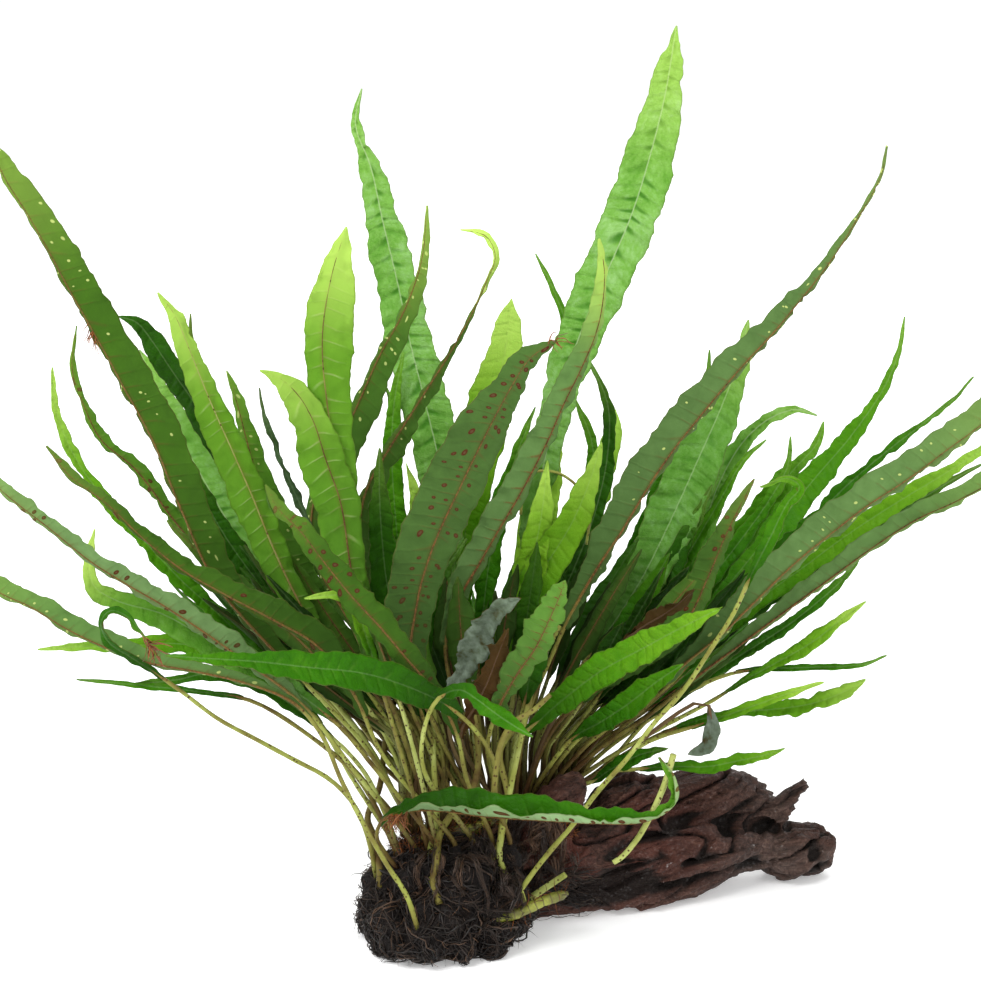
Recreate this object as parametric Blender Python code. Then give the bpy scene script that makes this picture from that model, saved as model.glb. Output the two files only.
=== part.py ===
"""A java fern that grows on a piece of driftwood.

Creeping stems lie on a gnarled log, held by their own mat of roots. About fifty fronds rise
from them, each a thin stalk and a long blade grown as one piece. The log is split at its main
forks: the log itself, the slab along its back, a splinter, the round knob on the right and the
stump between the stalks.

Sizes in this file are millimetres, and MM turns them into metres. X runs to the right along
the front, Y runs away from the front, and Z is up. The origin is on the flat place under the
log that it rests on.
"""

import math

import bmesh
import bpy
import numpy as np
from mathutils import Vector

MM = 0.001

# Gaps that keep neighbouring pieces apart
GAP = 0.35
CARVE = 0.45

# The fronds are drawn on a sheet that stands across the line of sight, as they are seen from
# the front and a little above: across and up in millimetres on the sheet.
EYE_DISTANCE = 908.0
EYE_PITCH = math.radians(15.0)
SHEET_CENTRE_UP = 140.0
SHEET_CENTRE_HEIGHT = 151.5
AHEAD = Vector((0, math.cos(EYE_PITCH), -math.sin(EYE_PITCH)))
UPWARD = Vector((0, math.sin(EYE_PITCH), math.cos(EYE_PITCH)))
EYE = Vector((0, 0, SHEET_CENTRE_HEIGHT)) - AHEAD * EYE_DISTANCE

# Stalks and blades
STALK_WIDTH = 2.3
STALK_THICKNESS = 2.0
BLADE_THICKNESS = 1.3
TIP_WIDTH = 0.9
TIP_THICKNESS = 0.5
BLADE_RINGS = 12
STALK_RING_SPACING = 24.0
FOLD = 0.16
RUFFLE = 0.9
LEAN_POWER = 1.3
FIRST_RISE = 4.0

# Creeping stems: thickness and the points of each centre line
STEM_RADIUS = 2.4
STEM_SIDES = 7
STEMS = {
    "back": [(-23, 8, 28), (-8, 14, 29.5), (8, 20.5, 29.5), (20, 27, 28), (29, 32, 27)],
    "crown": [(-31, -11, 29), (-15, -7, 31.5), (0, 0, 32.5), (13, 11, 33.5), (30, 20, 33)],
    "front": [(-33, -21, 25), (-19, -24, 27.5), (-4, -24, 27.5), (9, -19, 26)],
    "low": [(-2, -36, 12), (8, -34, 14), (17, -31, 17), (26, -28, 19)],
}

# Which side of a blade faces the front
UPPER = 1
UNDER = -1

# Leaf colours, linear
DARK = (0.035, 0.115, 0.012)
GREEN = (0.075, 0.225, 0.018)
LIME = (0.240, 0.470, 0.035)
GREY = (0.170, 0.190, 0.150)

# Every frond, stem by stem and from left to right along it: blade width, how drawn out its tip is
# (0 to 1), the share of its length that is bare stalk, how far back its tip lies, the turn of its
# blade in degrees at its foot and its tip, the side shown, its colour, and its route on the
# sheet from the stem to the tip.
FRONDS = {
    "back": {
        "thin_left": (6.5, 0.7, 0.30, 20, (0, 0), UPPER, GREEN, [
            (-44, 56), (-66, 86), (-84, 106), (-95, 119), (-105, 131), (-118, 148), (-129, 157),
            (-134, 166), (-139, 180), (-138, 195)]),
        "bumpy_left": (13, 0.2, 0.28, 60, (0, 0), UPPER, GREEN, [
            (-41, 64), (-62, 92), (-77, 110), (-85, 127), (-92, 140), (-100, 153), (-108, 167),
            (-119, 188)]),
        "dark_left": (9, 0.5, 0.35, 38, (0, 20), UPPER, DARK, [
            (-36, 62), (-54, 84), (-70, 110), (-82, 134), (-93, 154), (-101, 168), (-107, 181),
            (-112, 191), (-118, 197), (-124, 197)]),
        "dotted_left": (10, 0.4, 0.32, 22, (0, 0), UNDER, GREEN, [
            (-31, 64), (-45, 84), (-57, 104), (-66, 122), (-73, 140), (-78, 156), (-83, 170),
            (-88, 180)]),
        "centre_thin": (7.5, 0.3, 0.35, 28, (0, 0), UPPER, GREEN, [
            (-24, 70), (-29, 105), (-32, 135), (-33, 155), (-32, 170), (-29, 186)]),
        "tall_left": (14, 1, 0.30, 46, (0, 15), UPPER, GREEN, [
            (-17, 72), (-15, 100), (-15, 125), (-17, 148), (-22, 170), (-27, 190), (-31, 209),
            (-36, 230), (-40, 248), (-45, 262), (-43, 274)]),
        "lime_behind": (17, 0.5, 0.35, 74, (0, 0), UPPER, LIME, [
            (-8, 76), (-9, 110), (-7, 140), (-1, 165), (4, 182), (7, 204)]),
        "lime_middle": (11, 0.4, 0.35, 56, (0, 0), UPPER, LIME, [
            (3, 72), (9, 95), (14, 115), (17, 135), (20, 152), (23, 168)]),
        "tall_right": (16.5, 0.25, 0.30, 50, (0, 0), UPPER, GREEN, [
            (7, 76), (11, 110), (17, 145), (24, 175), (31, 195), (38, 211), (47, 232), (53, 251),
            (58, 271), (62, 295)]),
        "grey_middle": (8, 0.5, 0.35, 66, (0, 0), UPPER, GREEN, [
            (12, 75), (19, 97), (26, 117), (33, 138), (34, 155), (28, 171)]),
        "lime_leaning": (10, 0.3, 0.35, 92, (0, 0), UPPER, LIME, [
            (15, 70), (21, 95), (27, 118), (34, 137), (39, 152), (41, 163), (38, 173)]),
        "quilted_right": (19, 0.3, 0.28, 72, (0, 0), UPPER, GREEN, [
            (22, 70), (37, 90), (50, 110), (60, 130), (69, 150), (77, 168), (83, 184), (86, 197)]),
        "arched_right": (8, 0.6, 0.35, 88, (0, 10), UPPER, GREEN, [
            (30, 68), (48, 86), (62, 106), (70, 125), (76, 142), (84, 156), (93, 164), (102, 167),
            (109, 165)]),
        "dark_tip_right": (7, 0.1, 0.35, 40, (0, 0), UPPER, DARK, [
            (34, 62), (50, 80), (63, 97), (75, 113), (85, 127), (94, 139), (102, 148), (109, 156),
            (111, 163)]),
        "wide_right": (12, 0.9, 0.30, 95, (0, 15), UPPER, GREEN, [
            (36, 64), (58, 84), (78, 107), (95, 128), (108, 144), (120, 158), (131, 174),
            (136, 186), (138, 198)]),
        "thin_right": (5.5, 0.9, 0.30, 26, (0, 0), UPPER, DARK, [
            (38, 60), (56, 80), (73, 97), (88, 112), (103, 126), (118, 141), (132, 153),
            (145, 163), (156, 172), (161, 178)]),
        "hooked_right": (6, 0.4, 0.35, 62, (0, 0), UPPER, DARK, [
            (39, 54), (58, 67), (74, 79), (88, 88), (99, 95), (108, 102), (117, 110),
            (124, 119)]),
        "lime_flat_right": (6, 0.5, 0.35, 24, (0, 0), UPPER, LIME, [
            (40, 49), (55, 58), (68, 63), (80, 66), (93, 67), (107, 69), (118, 73), (125, 77)]),
    },
    "crown": {
        "lime_far_left": (6, 0.6, 0.30, -8, (0, 0), UPPER, LIME, [
            (-48, 50), (-70, 78), (-91, 99), (-103, 110), (-119, 127), (-131, 140), (-140, 154),
            (-145, 168), (-146, 181)]),
        "long_left": (14, 0.2, 0.24, -46, (30, 40), UNDER, DARK, [
            (-42, 55), (-60, 74), (-77, 94), (-90, 114), (-99, 135), (-108, 158), (-120, 180),
            (-136, 208), (-149, 230), (-160, 246), (-168, 258)]),
        "lime_left": (13, 0.5, 0.26, -14, (0, 0), UNDER, LIME, [
            (-36, 60), (-50, 78), (-66, 100), (-77, 120), (-85, 137), (-90, 152), (-96, 170),
            (-99, 186), (-103, 197), (-111, 206)]),
        "lime_folded": (13, 0.5, 0.30, -42, (0, 0), UNDER, LIME, [
            (-32, 66), (-41, 88), (-47, 112), (-51, 135), (-56, 150), (-60, 163), (-66, 173),
            (-72, 178), (-77, 180)]),
        "yellow_dotted": (11.5, 0.8, 0.30, -16, (0, 0), UNDER, DARK, [
            (-30, 68), (-44, 92), (-55, 115), (-57, 130), (-52, 147), (-43, 165), (-35, 184),
            (-27, 200), (-22, 217), (-21, 235)]),
        "curled_tip": (7.5, 0.9, 0.35, 16, (0, 30), UNDER, DARK, [
            (-26, 70), (-36, 95), (-42, 118), (-40, 138), (-33, 152), (-24, 167), (-14, 184),
            (-6, 199), (-1, 210), (2, 218), (-1, 225), (-10, 227)]),
        "lime_upright": (17.5, 0.3, 0.28, -48, (0, 0), UNDER, LIME, [
            (-26, 66), (-37, 92), (-44, 112), (-47, 130), (-50, 150), (-53, 170), (-54, 190),
            (-52, 208), (-48, 228)]),
        "centre_dark": (11, 0.4, 0.30, -20, (0, 0), UPPER, DARK, [
            (-21, 60), (-29, 88), (-34, 106), (-36, 122), (-37, 138), (-37, 154)]),
        "dark_centre": (20.5, 0.2, 0.26, -74, (0, 10), UNDER, DARK, [
            (-17, 58), (-27, 84), (-26, 104), (-21, 122), (-12, 142), (-3, 160), (6, 175),
            (13, 185), (22, 190)]),
        "dead_grey": (7, 0.2, 0.40, -44, (0, 0), UPPER, GREY, [
            (-13, 56), (-13, 72), (-8, 82), (-4, 90), (1, 99), (10, 104)]),
        "tall_folded": (11, 0.6, 0.30, -18, (20, 30), UNDER, DARK, [
            (-10, 64), (-15, 88), (-11, 105), (-2, 123), (8, 140), (17, 157), (23, 170),
            (29, 182), (35, 197), (37, 213), (36, 224)]),
        "pale_front": (11, 0.2, 0.35, -80, (0, 0), UNDER, GREEN, [
            (-1, 54), (3, 69), (8, 79), (14, 88), (19, 98), (25, 110)]),
        "wide_low": (10, 0.4, 0.32, -62, (0, 0), UPPER, GREEN, [
            (9, 56), (17, 64), (25, 71), (37, 80), (50, 87), (63, 94), (77, 101)]),
        "long_right": (13, 1, 0.26, -44, (-25, -35), UNDER, DARK, [
            (12, 64), (20, 84), (29, 104), (40, 127), (52, 148), (65, 165), (79, 181), (96, 198),
            (111, 215), (122, 231), (130, 245), (132, 255)]),
        "dark_right": (10, 0.5, 0.32, -30, (0, 0), UNDER, DARK, [
            (22, 62), (40, 77), (54, 87), (64, 98), (71, 112), (77, 125), (83, 136), (88, 144)]),
        "second_low": (9, 0.3, 0.35, -34, (0, 0), UPPER, GREEN, [
            (27, 57), (37, 63), (46, 69), (55, 76), (64, 82)]),
        "broad_far_right": (11.5, 0.2, 0.28, -42, (-25, -25), UNDER, DARK, [
            (30, 58), (52, 72), (70, 88), (85, 104), (98, 117), (111, 128), (124, 138),
            (138, 147), (152, 157), (164, 166), (173, 174)]),
        "lime_far_right": (8, 0.3, 0.30, -4, (0, 0), UPPER, LIME, [
            (33, 56), (56, 72), (74, 90), (90, 104), (105, 115), (120, 126), (137, 137),
            (152, 146), (164, 154), (172, 162)]),
        "edge_right": (6.5, 0.3, 0.30, -22, (0, 0), UNDER, GREEN, [
            (34, 52), (54, 66), (72, 81), (88, 94), (101, 104), (113, 113), (128, 124),
            (141, 132), (154, 138), (165, 144), (171, 150)]),
        "lime_low_right": (6.5, 0.6, 0.35, 2, (0, 0), UPPER, LIME, [
            (38, 50), (57, 61), (74, 70), (85, 77), (96, 83), (108, 90), (118, 98), (125, 103)]),
        "over_wood": (5, 0.5, 0.35, 4, (0, 0), UPPER, GREEN, [
            (37, 46), (47, 47), (61, 48), (72, 48), (83, 50), (92, 52), (98, 54)]),
    },
    "front": {
        "lime_flat_left": (7, 0.6, 0.35, -30, (0, 0), UPPER, LIME, [
            (-46, 44), (-58, 64), (-72, 78), (-88, 86), (-106, 89), (-122, 88), (-138, 88),
            (-151, 87)]),
        "dotted_far_left": (8, 0.4, 0.32, -76, (0, 0), UNDER, GREEN, [
            (-45, 46), (-62, 68), (-80, 84), (-92, 93), (-106, 102), (-120, 110), (-133, 118),
            (-147, 129), (-160, 139), (-171, 149)]),
        "lime_curled_left": (11, 0.5, 0.35, -54, (0, 30), UPPER, LIME, [
            (-39, 48), (-51, 62), (-68, 75), (-85, 85), (-97, 92), (-110, 99), (-124, 103),
            (-132, 108), (-134, 116), (-132, 127)]),
        "dark_long_left": (11, 0.8, 0.30, -48, (0, 0), UPPER, DARK, [
            (-36, 52), (-46, 74), (-56, 90), (-71, 99), (-87, 107), (-102, 115), (-115, 125),
            (-128, 137), (-139, 145), (-148, 155)]),
        "short_front": (7.5, 0.3, 0.55, -70, (0, 0), UPPER, GREEN, [
            (-22, 46), (-22, 62), (-14, 72), (-5, 72), (3, 68), (10, 62), (14, 57)]),
        "diagonal_under": (11, 0.4, 0.30, -70, (0, 0), UNDER, GREEN, [
            (-8, 44), (-11, 58), (-18, 73), (-27, 84), (-36, 95), (-47, 107), (-56, 118),
            (-63, 127), (-71, 135), (-75, 142)]),
        "broad_flat_front": (13, 0.3, 0.36, -92, (0, -25), UPPER, GREEN, [
            (2, 36), (1, 50), (-5, 60), (-14, 68), (-26, 74), (-42, 79), (-60, 81), (-78, 83),
            (-94, 84), (-108, 85)]),
    },
    "low": {
        "long_stalk_right": (5, 0.5, 0.72, -58, (0, 40), UPPER, GREEN, [
            (13, 11), (20, 20), (27, 28), (36, 40), (45, 50), (55, 63), (64, 73), (74, 88),
            (81, 99), (87, 112), (93, 124), (99, 136), (103, 141), (99, 144), (90, 141)]),
    },
}

# Fronds that come straight out of the front of the root mat: where they start on the sheet and
# how far back, a forward bow in the middle of the route, and then as in the table above.
FRONT_STARTS = {
    "edge_left": ((-24, -7, -44), -6, (8, 0.3, 0.42, -60, (0, 0), UNDER, GREEN, [
        (-28, 5), (-35, 16), (-44, 32), (-50, 44), (-56, 58), (-65, 69), (-79, 76), (-97, 81),
        (-115, 85), (-130, 91), (-142, 97), (-152, 103), (-163, 108), (-173, 115)])),
    "ring_left": ((-38, 11, -20), -4, (6, 0.4, 0.66, -82, (30, 75), UPPER, GREEN, [
        (-41, 25), (-46, 36), (-54, 44), (-65, 50), (-78, 57), (-91, 64), (-103, 73), (-113, 80),
        (-121, 85), (-127, 89), (-130, 95), (-127, 100), (-121, 98), (-115, 91), (-111, 85)])),
    "front_curled": ((-31, 14, -25), -14, (12, 0.4, 0.16, -44, (-30, -40), UPPER, GREEN, [
        (-35, 20), (-37, 27), (-34, 33), (-27, 36), (-16, 37), (-4, 36), (8, 34), (22, 33),
        (37, 31), (50, 31), (58, 33), (62, 38), (61, 44), (56, 51)])),
}

# Timbers: (x, y, z) of each ring's middle, half its depth and half its height. Weathered wood is
# squarish across, with furrows that run along it: where each furrow lies round the timber in
# degrees at its start and its end (0 is the front, 90 the top), and its depth as a share of the
# timber's half size.
SQUARENESS = 0.74
FURROW_SPREAD = math.radians(17.0)
LOG = [
    ((-40, -18, 11), 9, 8),
    ((-33, -15, 13), 14, 12),
    ((-18, -8, 14.2), 18, 14.8),
    ((-4, -3, 14.2), 19, 15.6),
    ((8, 2, 14.2), 19, 15.8),
    ((18, 5, 14.7), 19, 16.8),
    ((27, 8, 14.2), 20, 16.3),
    ((35, 10, 13.7), 20, 15.8),
    ((43, 12, 14.2), 20, 16.3),
    ((51, 14.5, 14.2), 19.5, 16.3),
    ((59, 17, 13.7), 19, 15.8),
    ((67, 20, 13.2), 18, 14.8),
    ((75, 23, 13.5), 17, 12.5),
    ((82, 26, 13.5), 15.5, 9.5),
    ((89, 28, 13), 13, 8),
    ((96, 30, 12), 10.5, 7),
    ((100, 31.5, 11), 8, 5.5),
]
LOG_FURROWS = [(58, 30, 0.20), (8, -20, 0.16), (105, 85, 0.14), (-45, -30, 0.10), (160, 175, 0.12)]
RIDGE = [
    ((37, 20, 25), 8, 8),
    ((43, 22, 28), 11, 11.5),
    ((49, 23.5, 29.5), 11.5, 13),
    ((56, 25.5, 28), 12, 12.5),
    ((63, 28, 26.5), 12, 12),
    ((70, 30.5, 27), 11.5, 12),
    ((77, 33, 27.5), 11, 13),
    ((84, 35.5, 27), 10.5, 13),
    ((91, 37.5, 25), 9.5, 11.5),
    ((97, 38.5, 23), 7.5, 8.5),
    ((101, 39, 21.5), 5, 5),
]
RIDGE_FURROWS = [(35, 25, 0.24), (80, 65, 0.20), (-15, -25, 0.18), (130, 115, 0.18)]
SPUR = [
    ((101, 35, 20), 5.5, 5),
    ((104, 36, 25), 4, 4),
    ((108, 37, 29.5), 3, 3),
    ((113, 38, 33), 1.7, 1.7),
]
SPUR_FURROWS = [(20, 40, 0.20)]
KNOB = [
    ((98, 29, 9.5), 8, 7),
    ((103, 31, 9), 11, 9),
    ((109, 33, 9), 12, 9.5),
    ((115, 35, 8.8), 11.5, 9.5),
    ((119.5, 37, 8.2), 9, 8),
    ((122, 38, 7.5), 5.5, 5),
]
KNOB_FURROWS = [(40, 20, 0.16), (90, 110, 0.12)]
STUB = [
    ((14, -4, 23), 9, 9),
    ((18, -2, 30), 10, 9),
    ((22, 0, 37), 9.5, 8.5),
    ((25.5, 1.5, 43), 8, 7.5),
    ((28, 2.5, 47.5), 6, 5.5),
    ((29.5, 3, 50), 3.5, 3),
]
STUB_FURROWS = [(25, 5, 0.16), (90, 110, 0.14)]

# The root mat: middle and half sizes in plan at each level
MAT_SIDES = 14
MAT = [
    (0, (-15, -22), 24, 22),
    (5, (-17, -21), 29, 27),
    (12, (-17, -19), 30, 29),
    (19, (-15, -17), 27.5, 27),
    (25, (-13, -16), 24, 21.5),
    (29.5, (-12, -20), 22, 15),
    (33.5, (-14, -24.5), 17, 7),
]

WOOD_COLOUR = (0.045, 0.018, 0.014)
ROOT_COLOUR = (0.018, 0.012, 0.010)
STEM_COLOUR = (0.230, 0.260, 0.040)


def clear_scene():
    for thing in list(bpy.data.objects):
        bpy.data.objects.remove(thing, do_unlink=True)


def material(name, colour, roughness):
    """A plain material of this colour, shared by name."""
    made = bpy.data.materials.get(name)
    if made is None:
        made = bpy.data.materials.new(name)
        made.use_nodes = True
        shader = made.node_tree.nodes["Principled BSDF"]
        shader.inputs["Base Color"].default_value = (*colour, 1.0)
        shader.inputs["Roughness"].default_value = roughness
        shader.inputs["Metallic"].default_value = 0.0
    return made


def seen(across, up, back):
    """The point of space that lies `back` behind the origin and shows at this place on the sheet."""
    ray = AHEAD * EYE_DISTANCE + Vector((across, 0, 0)) + UPWARD * (up - SHEET_CENTRE_UP)
    return EYE + ray * ((back - EYE.y) / ray.y)


def smooth_line(points, steps=12):
    """A dense centripetal Catmull-Rom curve through the points, with the length up to each."""
    p = np.array([tuple(q) for q in points], dtype=float)
    p = np.vstack([2 * p[0] - p[1], p, 2 * p[-1] - p[-2]])
    knots = np.concatenate([[0], np.cumsum(np.linalg.norm(np.diff(p, axis=0), axis=1) ** 0.5)])
    dense = [p[1]]
    for i in range(1, len(p) - 2):
        a, b, c, d = knots[i - 1:i + 3]
        for t in np.linspace(b, c, steps + 1)[1:]:
            ab = ((b - t) * p[i - 1] + (t - a) * p[i]) / (b - a)
            bc = ((c - t) * p[i] + (t - b) * p[i + 1]) / (c - b)
            cd = ((d - t) * p[i + 1] + (t - c) * p[i + 2]) / (d - c)
            abc = ((c - t) * ab + (t - a) * bc) / (c - a)
            bcd = ((d - t) * bc + (t - b) * cd) / (d - b)
            dense.append(((c - t) * abc + (t - b) * bcd) / (c - b))
    dense = np.array(dense)
    lengths = np.concatenate([[0], np.cumsum(np.linalg.norm(np.diff(dense, axis=0), axis=1))])
    return dense, lengths


def point_at(line, distance):
    """The point and the direction of a dense line at this length along it."""
    dense, lengths = line
    place = Vector([float(np.interp(distance, lengths, dense[:, k])) for k in range(3)])
    step = lengths[-1] * 0.01
    after = [float(np.interp(distance + step, lengths, dense[:, k])) for k in range(3)]
    before = [float(np.interp(distance - step, lengths, dense[:, k])) for k in range(3)]
    return place, (Vector(after) - Vector(before)).normalized()


def solid(name, rings, colour, roughness):
    """One closed body through rings of points, each ring counted the same way round."""
    mesh = bpy.data.meshes.new(name)
    shape = bmesh.new()
    loops = [[shape.verts.new(Vector(point) * MM) for point in ring] for ring in rings]
    count = len(rings[0])
    for near, far in zip(loops, loops[1:]):
        for k in range(count):
            shape.faces.new((near[k], near[(k + 1) % count], far[(k + 1) % count], far[k]))
    shape.faces.new(list(reversed(loops[0])))
    shape.faces.new(loops[-1])
    bmesh.ops.recalc_face_normals(shape, faces=shape.faces)
    bmesh.ops.triangulate(shape, faces=shape.faces)
    shape.to_mesh(mesh)
    shape.free()
    made = bpy.data.objects.new(name, mesh)
    bpy.context.scene.collection.objects.link(made)
    made.data.materials.append(material(name, colour, roughness))
    return made


def swollen(thing, by):
    """A hidden copy of this object, larger by this much all round, to carve its neighbour with."""
    shape = bmesh.new()
    shape.from_mesh(thing.data)
    bmesh.ops.recalc_face_normals(shape, faces=shape.faces)
    shape.normal_update()
    moves = [(v, v.normal * v.calc_shell_factor() * by * MM) for v in shape.verts]
    for v, move in moves:
        v.co += move
    mesh = bpy.data.meshes.new(thing.name + "_cutter")
    shape.to_mesh(mesh)
    shape.free()
    cutter = bpy.data.objects.new(thing.name + "_cutter", mesh)
    bpy.context.scene.collection.objects.link(cutter)
    cutter.hide_render = True
    cutter.display_type = "WIRE"
    return cutter


def carve(thing, *cutters):
    for cutter in cutters:
        cut = thing.modifiers.new("keep clear of " + cutter.name, "BOOLEAN")
        cut.operation = "DIFFERENCE"
        cut.solver = "EXACT"
        cut.object = cutter


def furrowed(turn, along, furrows):
    """Share of the full size that is left here once the furrows are worn in."""
    left = 1 + 0.03 * math.sin(3 * turn + 5 * along) + 0.02 * math.sin(7 * turn - 9 * along)
    for start, end, depth in furrows:
        off = turn - math.radians(start + (end - start) * along)
        off = (off + math.pi) % (2 * math.pi) - math.pi
        fade = 0.6 + 0.4 * math.sin(11 * along + start)
        left -= depth * fade * math.exp(-(off / FURROW_SPREAD) ** 2)
    return left


def squared(value):
    return math.copysign(abs(value) ** SQUARENESS, value)


def timber(name, line, furrows, sides, jag=0.0):
    """A gnarled length of wood: rings square to its run, furrowed, with a splintered far end."""
    middles = [Vector(middle) for middle, _, _ in line]
    rings = []
    for i, (_, half_depth, half_height) in enumerate(line):
        along = i / (len(line) - 1)
        run = middles[min(i + 1, len(line) - 1)] - middles[max(i - 1, 0)]
        side = run.cross(Vector((0, 0, 1))).normalized()
        rise = side.cross(run).normalized()
        ring = []
        for k in range(sides):
            turn = 2 * math.pi * (k + 0.5) / sides - math.pi / 2
            left = furrowed(turn, along, furrows)
            point = (middles[i] + side * (squared(math.cos(turn)) * half_depth * left)
                     + rise * (squared(math.sin(turn)) * half_height * left))
            if i == len(line) - 1:
                point += run.normalized() * jag * math.sin(4 * turn)
            point.z = max(point.z, 0.0)
            ring.append(point)
        rings.append(ring)
    return solid(name, rings, WOOD_COLOUR, 0.55)


def root_mat():
    """The lump of roots around the left end of the log, flat below."""
    rings = []
    for level, (height, (x, y), half_x, half_y) in enumerate(MAT):
        ring = []
        for k in range(MAT_SIDES):
            turn = 2 * math.pi * k / MAT_SIDES
            lumps = 1 + 0.07 * math.sin(3 * turn + level) + 0.05 * math.sin(5 * turn - 2 * level)
            ring.append((x + half_x * lumps * math.cos(turn), y + half_y * lumps * math.sin(turn),
                         height))
        rings.append(ring)
    return solid("root_mat", rings, ROOT_COLOUR, 0.9)


def stem(name, points):
    """A creeping stem: a tube with the slight knuckles of old frond feet."""
    line = smooth_line(points)
    length = line[1][-1]
    count = max(6, round(length / 6))
    rings = []
    for i in range(count + 1):
        middle, run = point_at(line, length * i / count)
        side = run.cross(Vector((0, 0, 1))).normalized()
        rise = side.cross(run).normalized()
        end = 0.55 if i in (0, count) else 1.0
        radius = STEM_RADIUS * end * (1 + 0.10 * (-1) ** i)
        rings.append([middle + (side * math.cos(turn) + rise * math.sin(turn)) * radius
                      for turn in (2 * math.pi * k / STEM_SIDES for k in range(STEM_SIDES))])
    return solid("rhizome_" + name, rings, STEM_COLOUR, 0.5)


def blade_width(share, drawn_out):
    """Width along a blade, as a share of its greatest: a slow start, straight sides, a long tip."""
    falls_from = 0.55 - 0.25 * drawn_out
    rise = 1 - (1 - min(share / 0.5, 1.0)) ** 2
    fall = 1 - max((share - falls_from) / (1 - falls_from), 0.0) ** (2.2 - drawn_out)
    return rise * fall


def frond_route(start, first_way, sheet_points, tip_back, bow=0.0):
    """The centre line of a frond in space: its start, a short rise along `first_way`, its route."""
    flat = [Vector(point) for point in sheet_points]
    steps = [0.0]
    for before, after in zip(flat, flat[1:]):
        steps.append(steps[-1] + (after - before).length)
    lead = (seen(*sheet_points[0], start.y) - start).length
    total = lead + steps[-1]
    points = [start]
    if first_way is not None:
        points.append(start + first_way * FIRST_RISE)
    for point, step in zip(sheet_points, steps):
        share = (lead + step) / total
        back = start.y + (tip_back - start.y) * share ** LEAN_POWER + bow * math.sin(math.pi * share)
        points.append(seen(*point, back))
    return smooth_line(points)


def frond(name, line, width, drawn_out, bare, turns, shows, colour):
    """Stalk and blade in one: four-cornered rings that widen into the blade and fold at its rib."""
    length = line[1][-1]
    stalk_rings = max(3, round(length * bare / STALK_RING_SPACING))
    places = [length * bare * i / stalk_rings for i in range(stalk_rings)]
    places += [length * (bare + (1 - bare) * i / (BLADE_RINGS - 1)) for i in range(BLADE_RINGS)]
    rings = []
    for i, place in enumerate(places):
        middle, run = point_at(line, place)
        share = max(0.0, (place / length - bare) / (1 - bare))
        across = run.cross(EYE - middle).normalized()
        face = across.cross(run).normalized() * shows
        turn = math.radians(turns[0] + (turns[1] - turns[0]) * share)
        across, face = (across * math.cos(turn) + face * math.sin(turn),
                        face * math.cos(turn) - across * math.sin(turn))
        grown = blade_width(share, drawn_out)
        spread = 0.5 * (STALK_WIDTH + (width - STALK_WIDTH) * grown)
        thick = STALK_THICKNESS + (BLADE_THICKNESS - STALK_THICKNESS) * min(share * 4, 1)
        if i == len(places) - 1:
            spread, thick = TIP_WIDTH / 2, TIP_THICKNESS
        lift = FOLD * spread * grown
        wave = RUFFLE * grown * (-1) ** i
        rings.append([middle + across * spread + face * (lift + wave),
                      middle + face * thick / 2,
                      middle - across * spread + face * (lift - wave),
                      middle - face * thick / 2])
    return solid("frond_" + name, rings, colour, 0.4)


def stem_fronds(stem_name):
    """All the fronds of one stem, spaced evenly along it in the order of its table."""
    line = smooth_line(STEMS[stem_name])
    members = FRONDS[stem_name]
    made = []
    for i, (name, values) in enumerate(members.items()):
        width, drawn_out, bare, tip_back, turns, shows, colour, route = values
        foot, run = point_at(line, line[1][-1] * (i + 0.5) / len(members))
        way = seen(*route[0], foot.y) - foot
        way = (way - run * way.dot(run)).normalized()
        start = foot + way * (STEM_RADIUS * 1.1 + GAP)
        centre = frond_route(start, way, route, tip_back)
        made.append(frond(name, centre, width, drawn_out, bare, turns, shows, colour))
    return made


def front_fronds():
    """The fronds that come out of the front of the root mat."""
    made = []
    for name, (place, bow, values) in FRONT_STARTS.items():
        width, drawn_out, bare, tip_back, turns, shows, colour, route = values
        centre = frond_route(seen(*place), None, route, tip_back, bow)
        made.append(frond(name, centre, width, drawn_out, bare, turns, shows, colour))
    return made


def build():
    clear_scene()
    log = timber("driftwood_log", LOG, LOG_FURROWS, 22)
    ridge = timber("driftwood_ridge", RIDGE, RIDGE_FURROWS, 18, 1.5)
    spur = timber("driftwood_spur", SPUR, SPUR_FURROWS, 8, 0.6)
    knob = timber("driftwood_knob", KNOB, KNOB_FURROWS, 14)
    stub = timber("driftwood_stub", STUB, STUB_FURROWS, 12, 0.5)
    mat = root_mat()
    stems = [stem(name, points) for name, points in STEMS.items()]
    fronds = {name: stem_fronds(name) for name in STEMS}
    rooted = fronds["front"] + front_fronds()

    log_cutter = swollen(log, CARVE)
    ridge_cutter = swollen(ridge, CARVE)
    carve(ridge, log_cutter)
    carve(stub, log_cutter, ridge_cutter)
    carve(knob, log_cutter, ridge_cutter)
    carve(spur, log_cutter, ridge_cutter, swollen(knob, CARVE))
    grown_through = [swollen(thing, CARVE) for thing in stems + rooted]
    carve(mat, log_cutter, *grown_through)


build()
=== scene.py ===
# %% [markdown]
# # A java fern on driftwood
#
# A java fern is a creeping water fern. It has no trunk and no soil: a thin creeping stem holds on
# to wood with a felt of dark roots, and long strap-like fronds rise from it, each a bare stalk
# and a blade that grew as one piece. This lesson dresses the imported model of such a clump. The
# model fixes where everything is, and every piece here takes its place from the same numbers.

# %% Load the frame
import math
import random
from dataclasses import dataclass, replace

import bpy
import numpy as np
from mathutils import Matrix, Vector, noise
from mathutils.bvhtree import BVHTree


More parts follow.
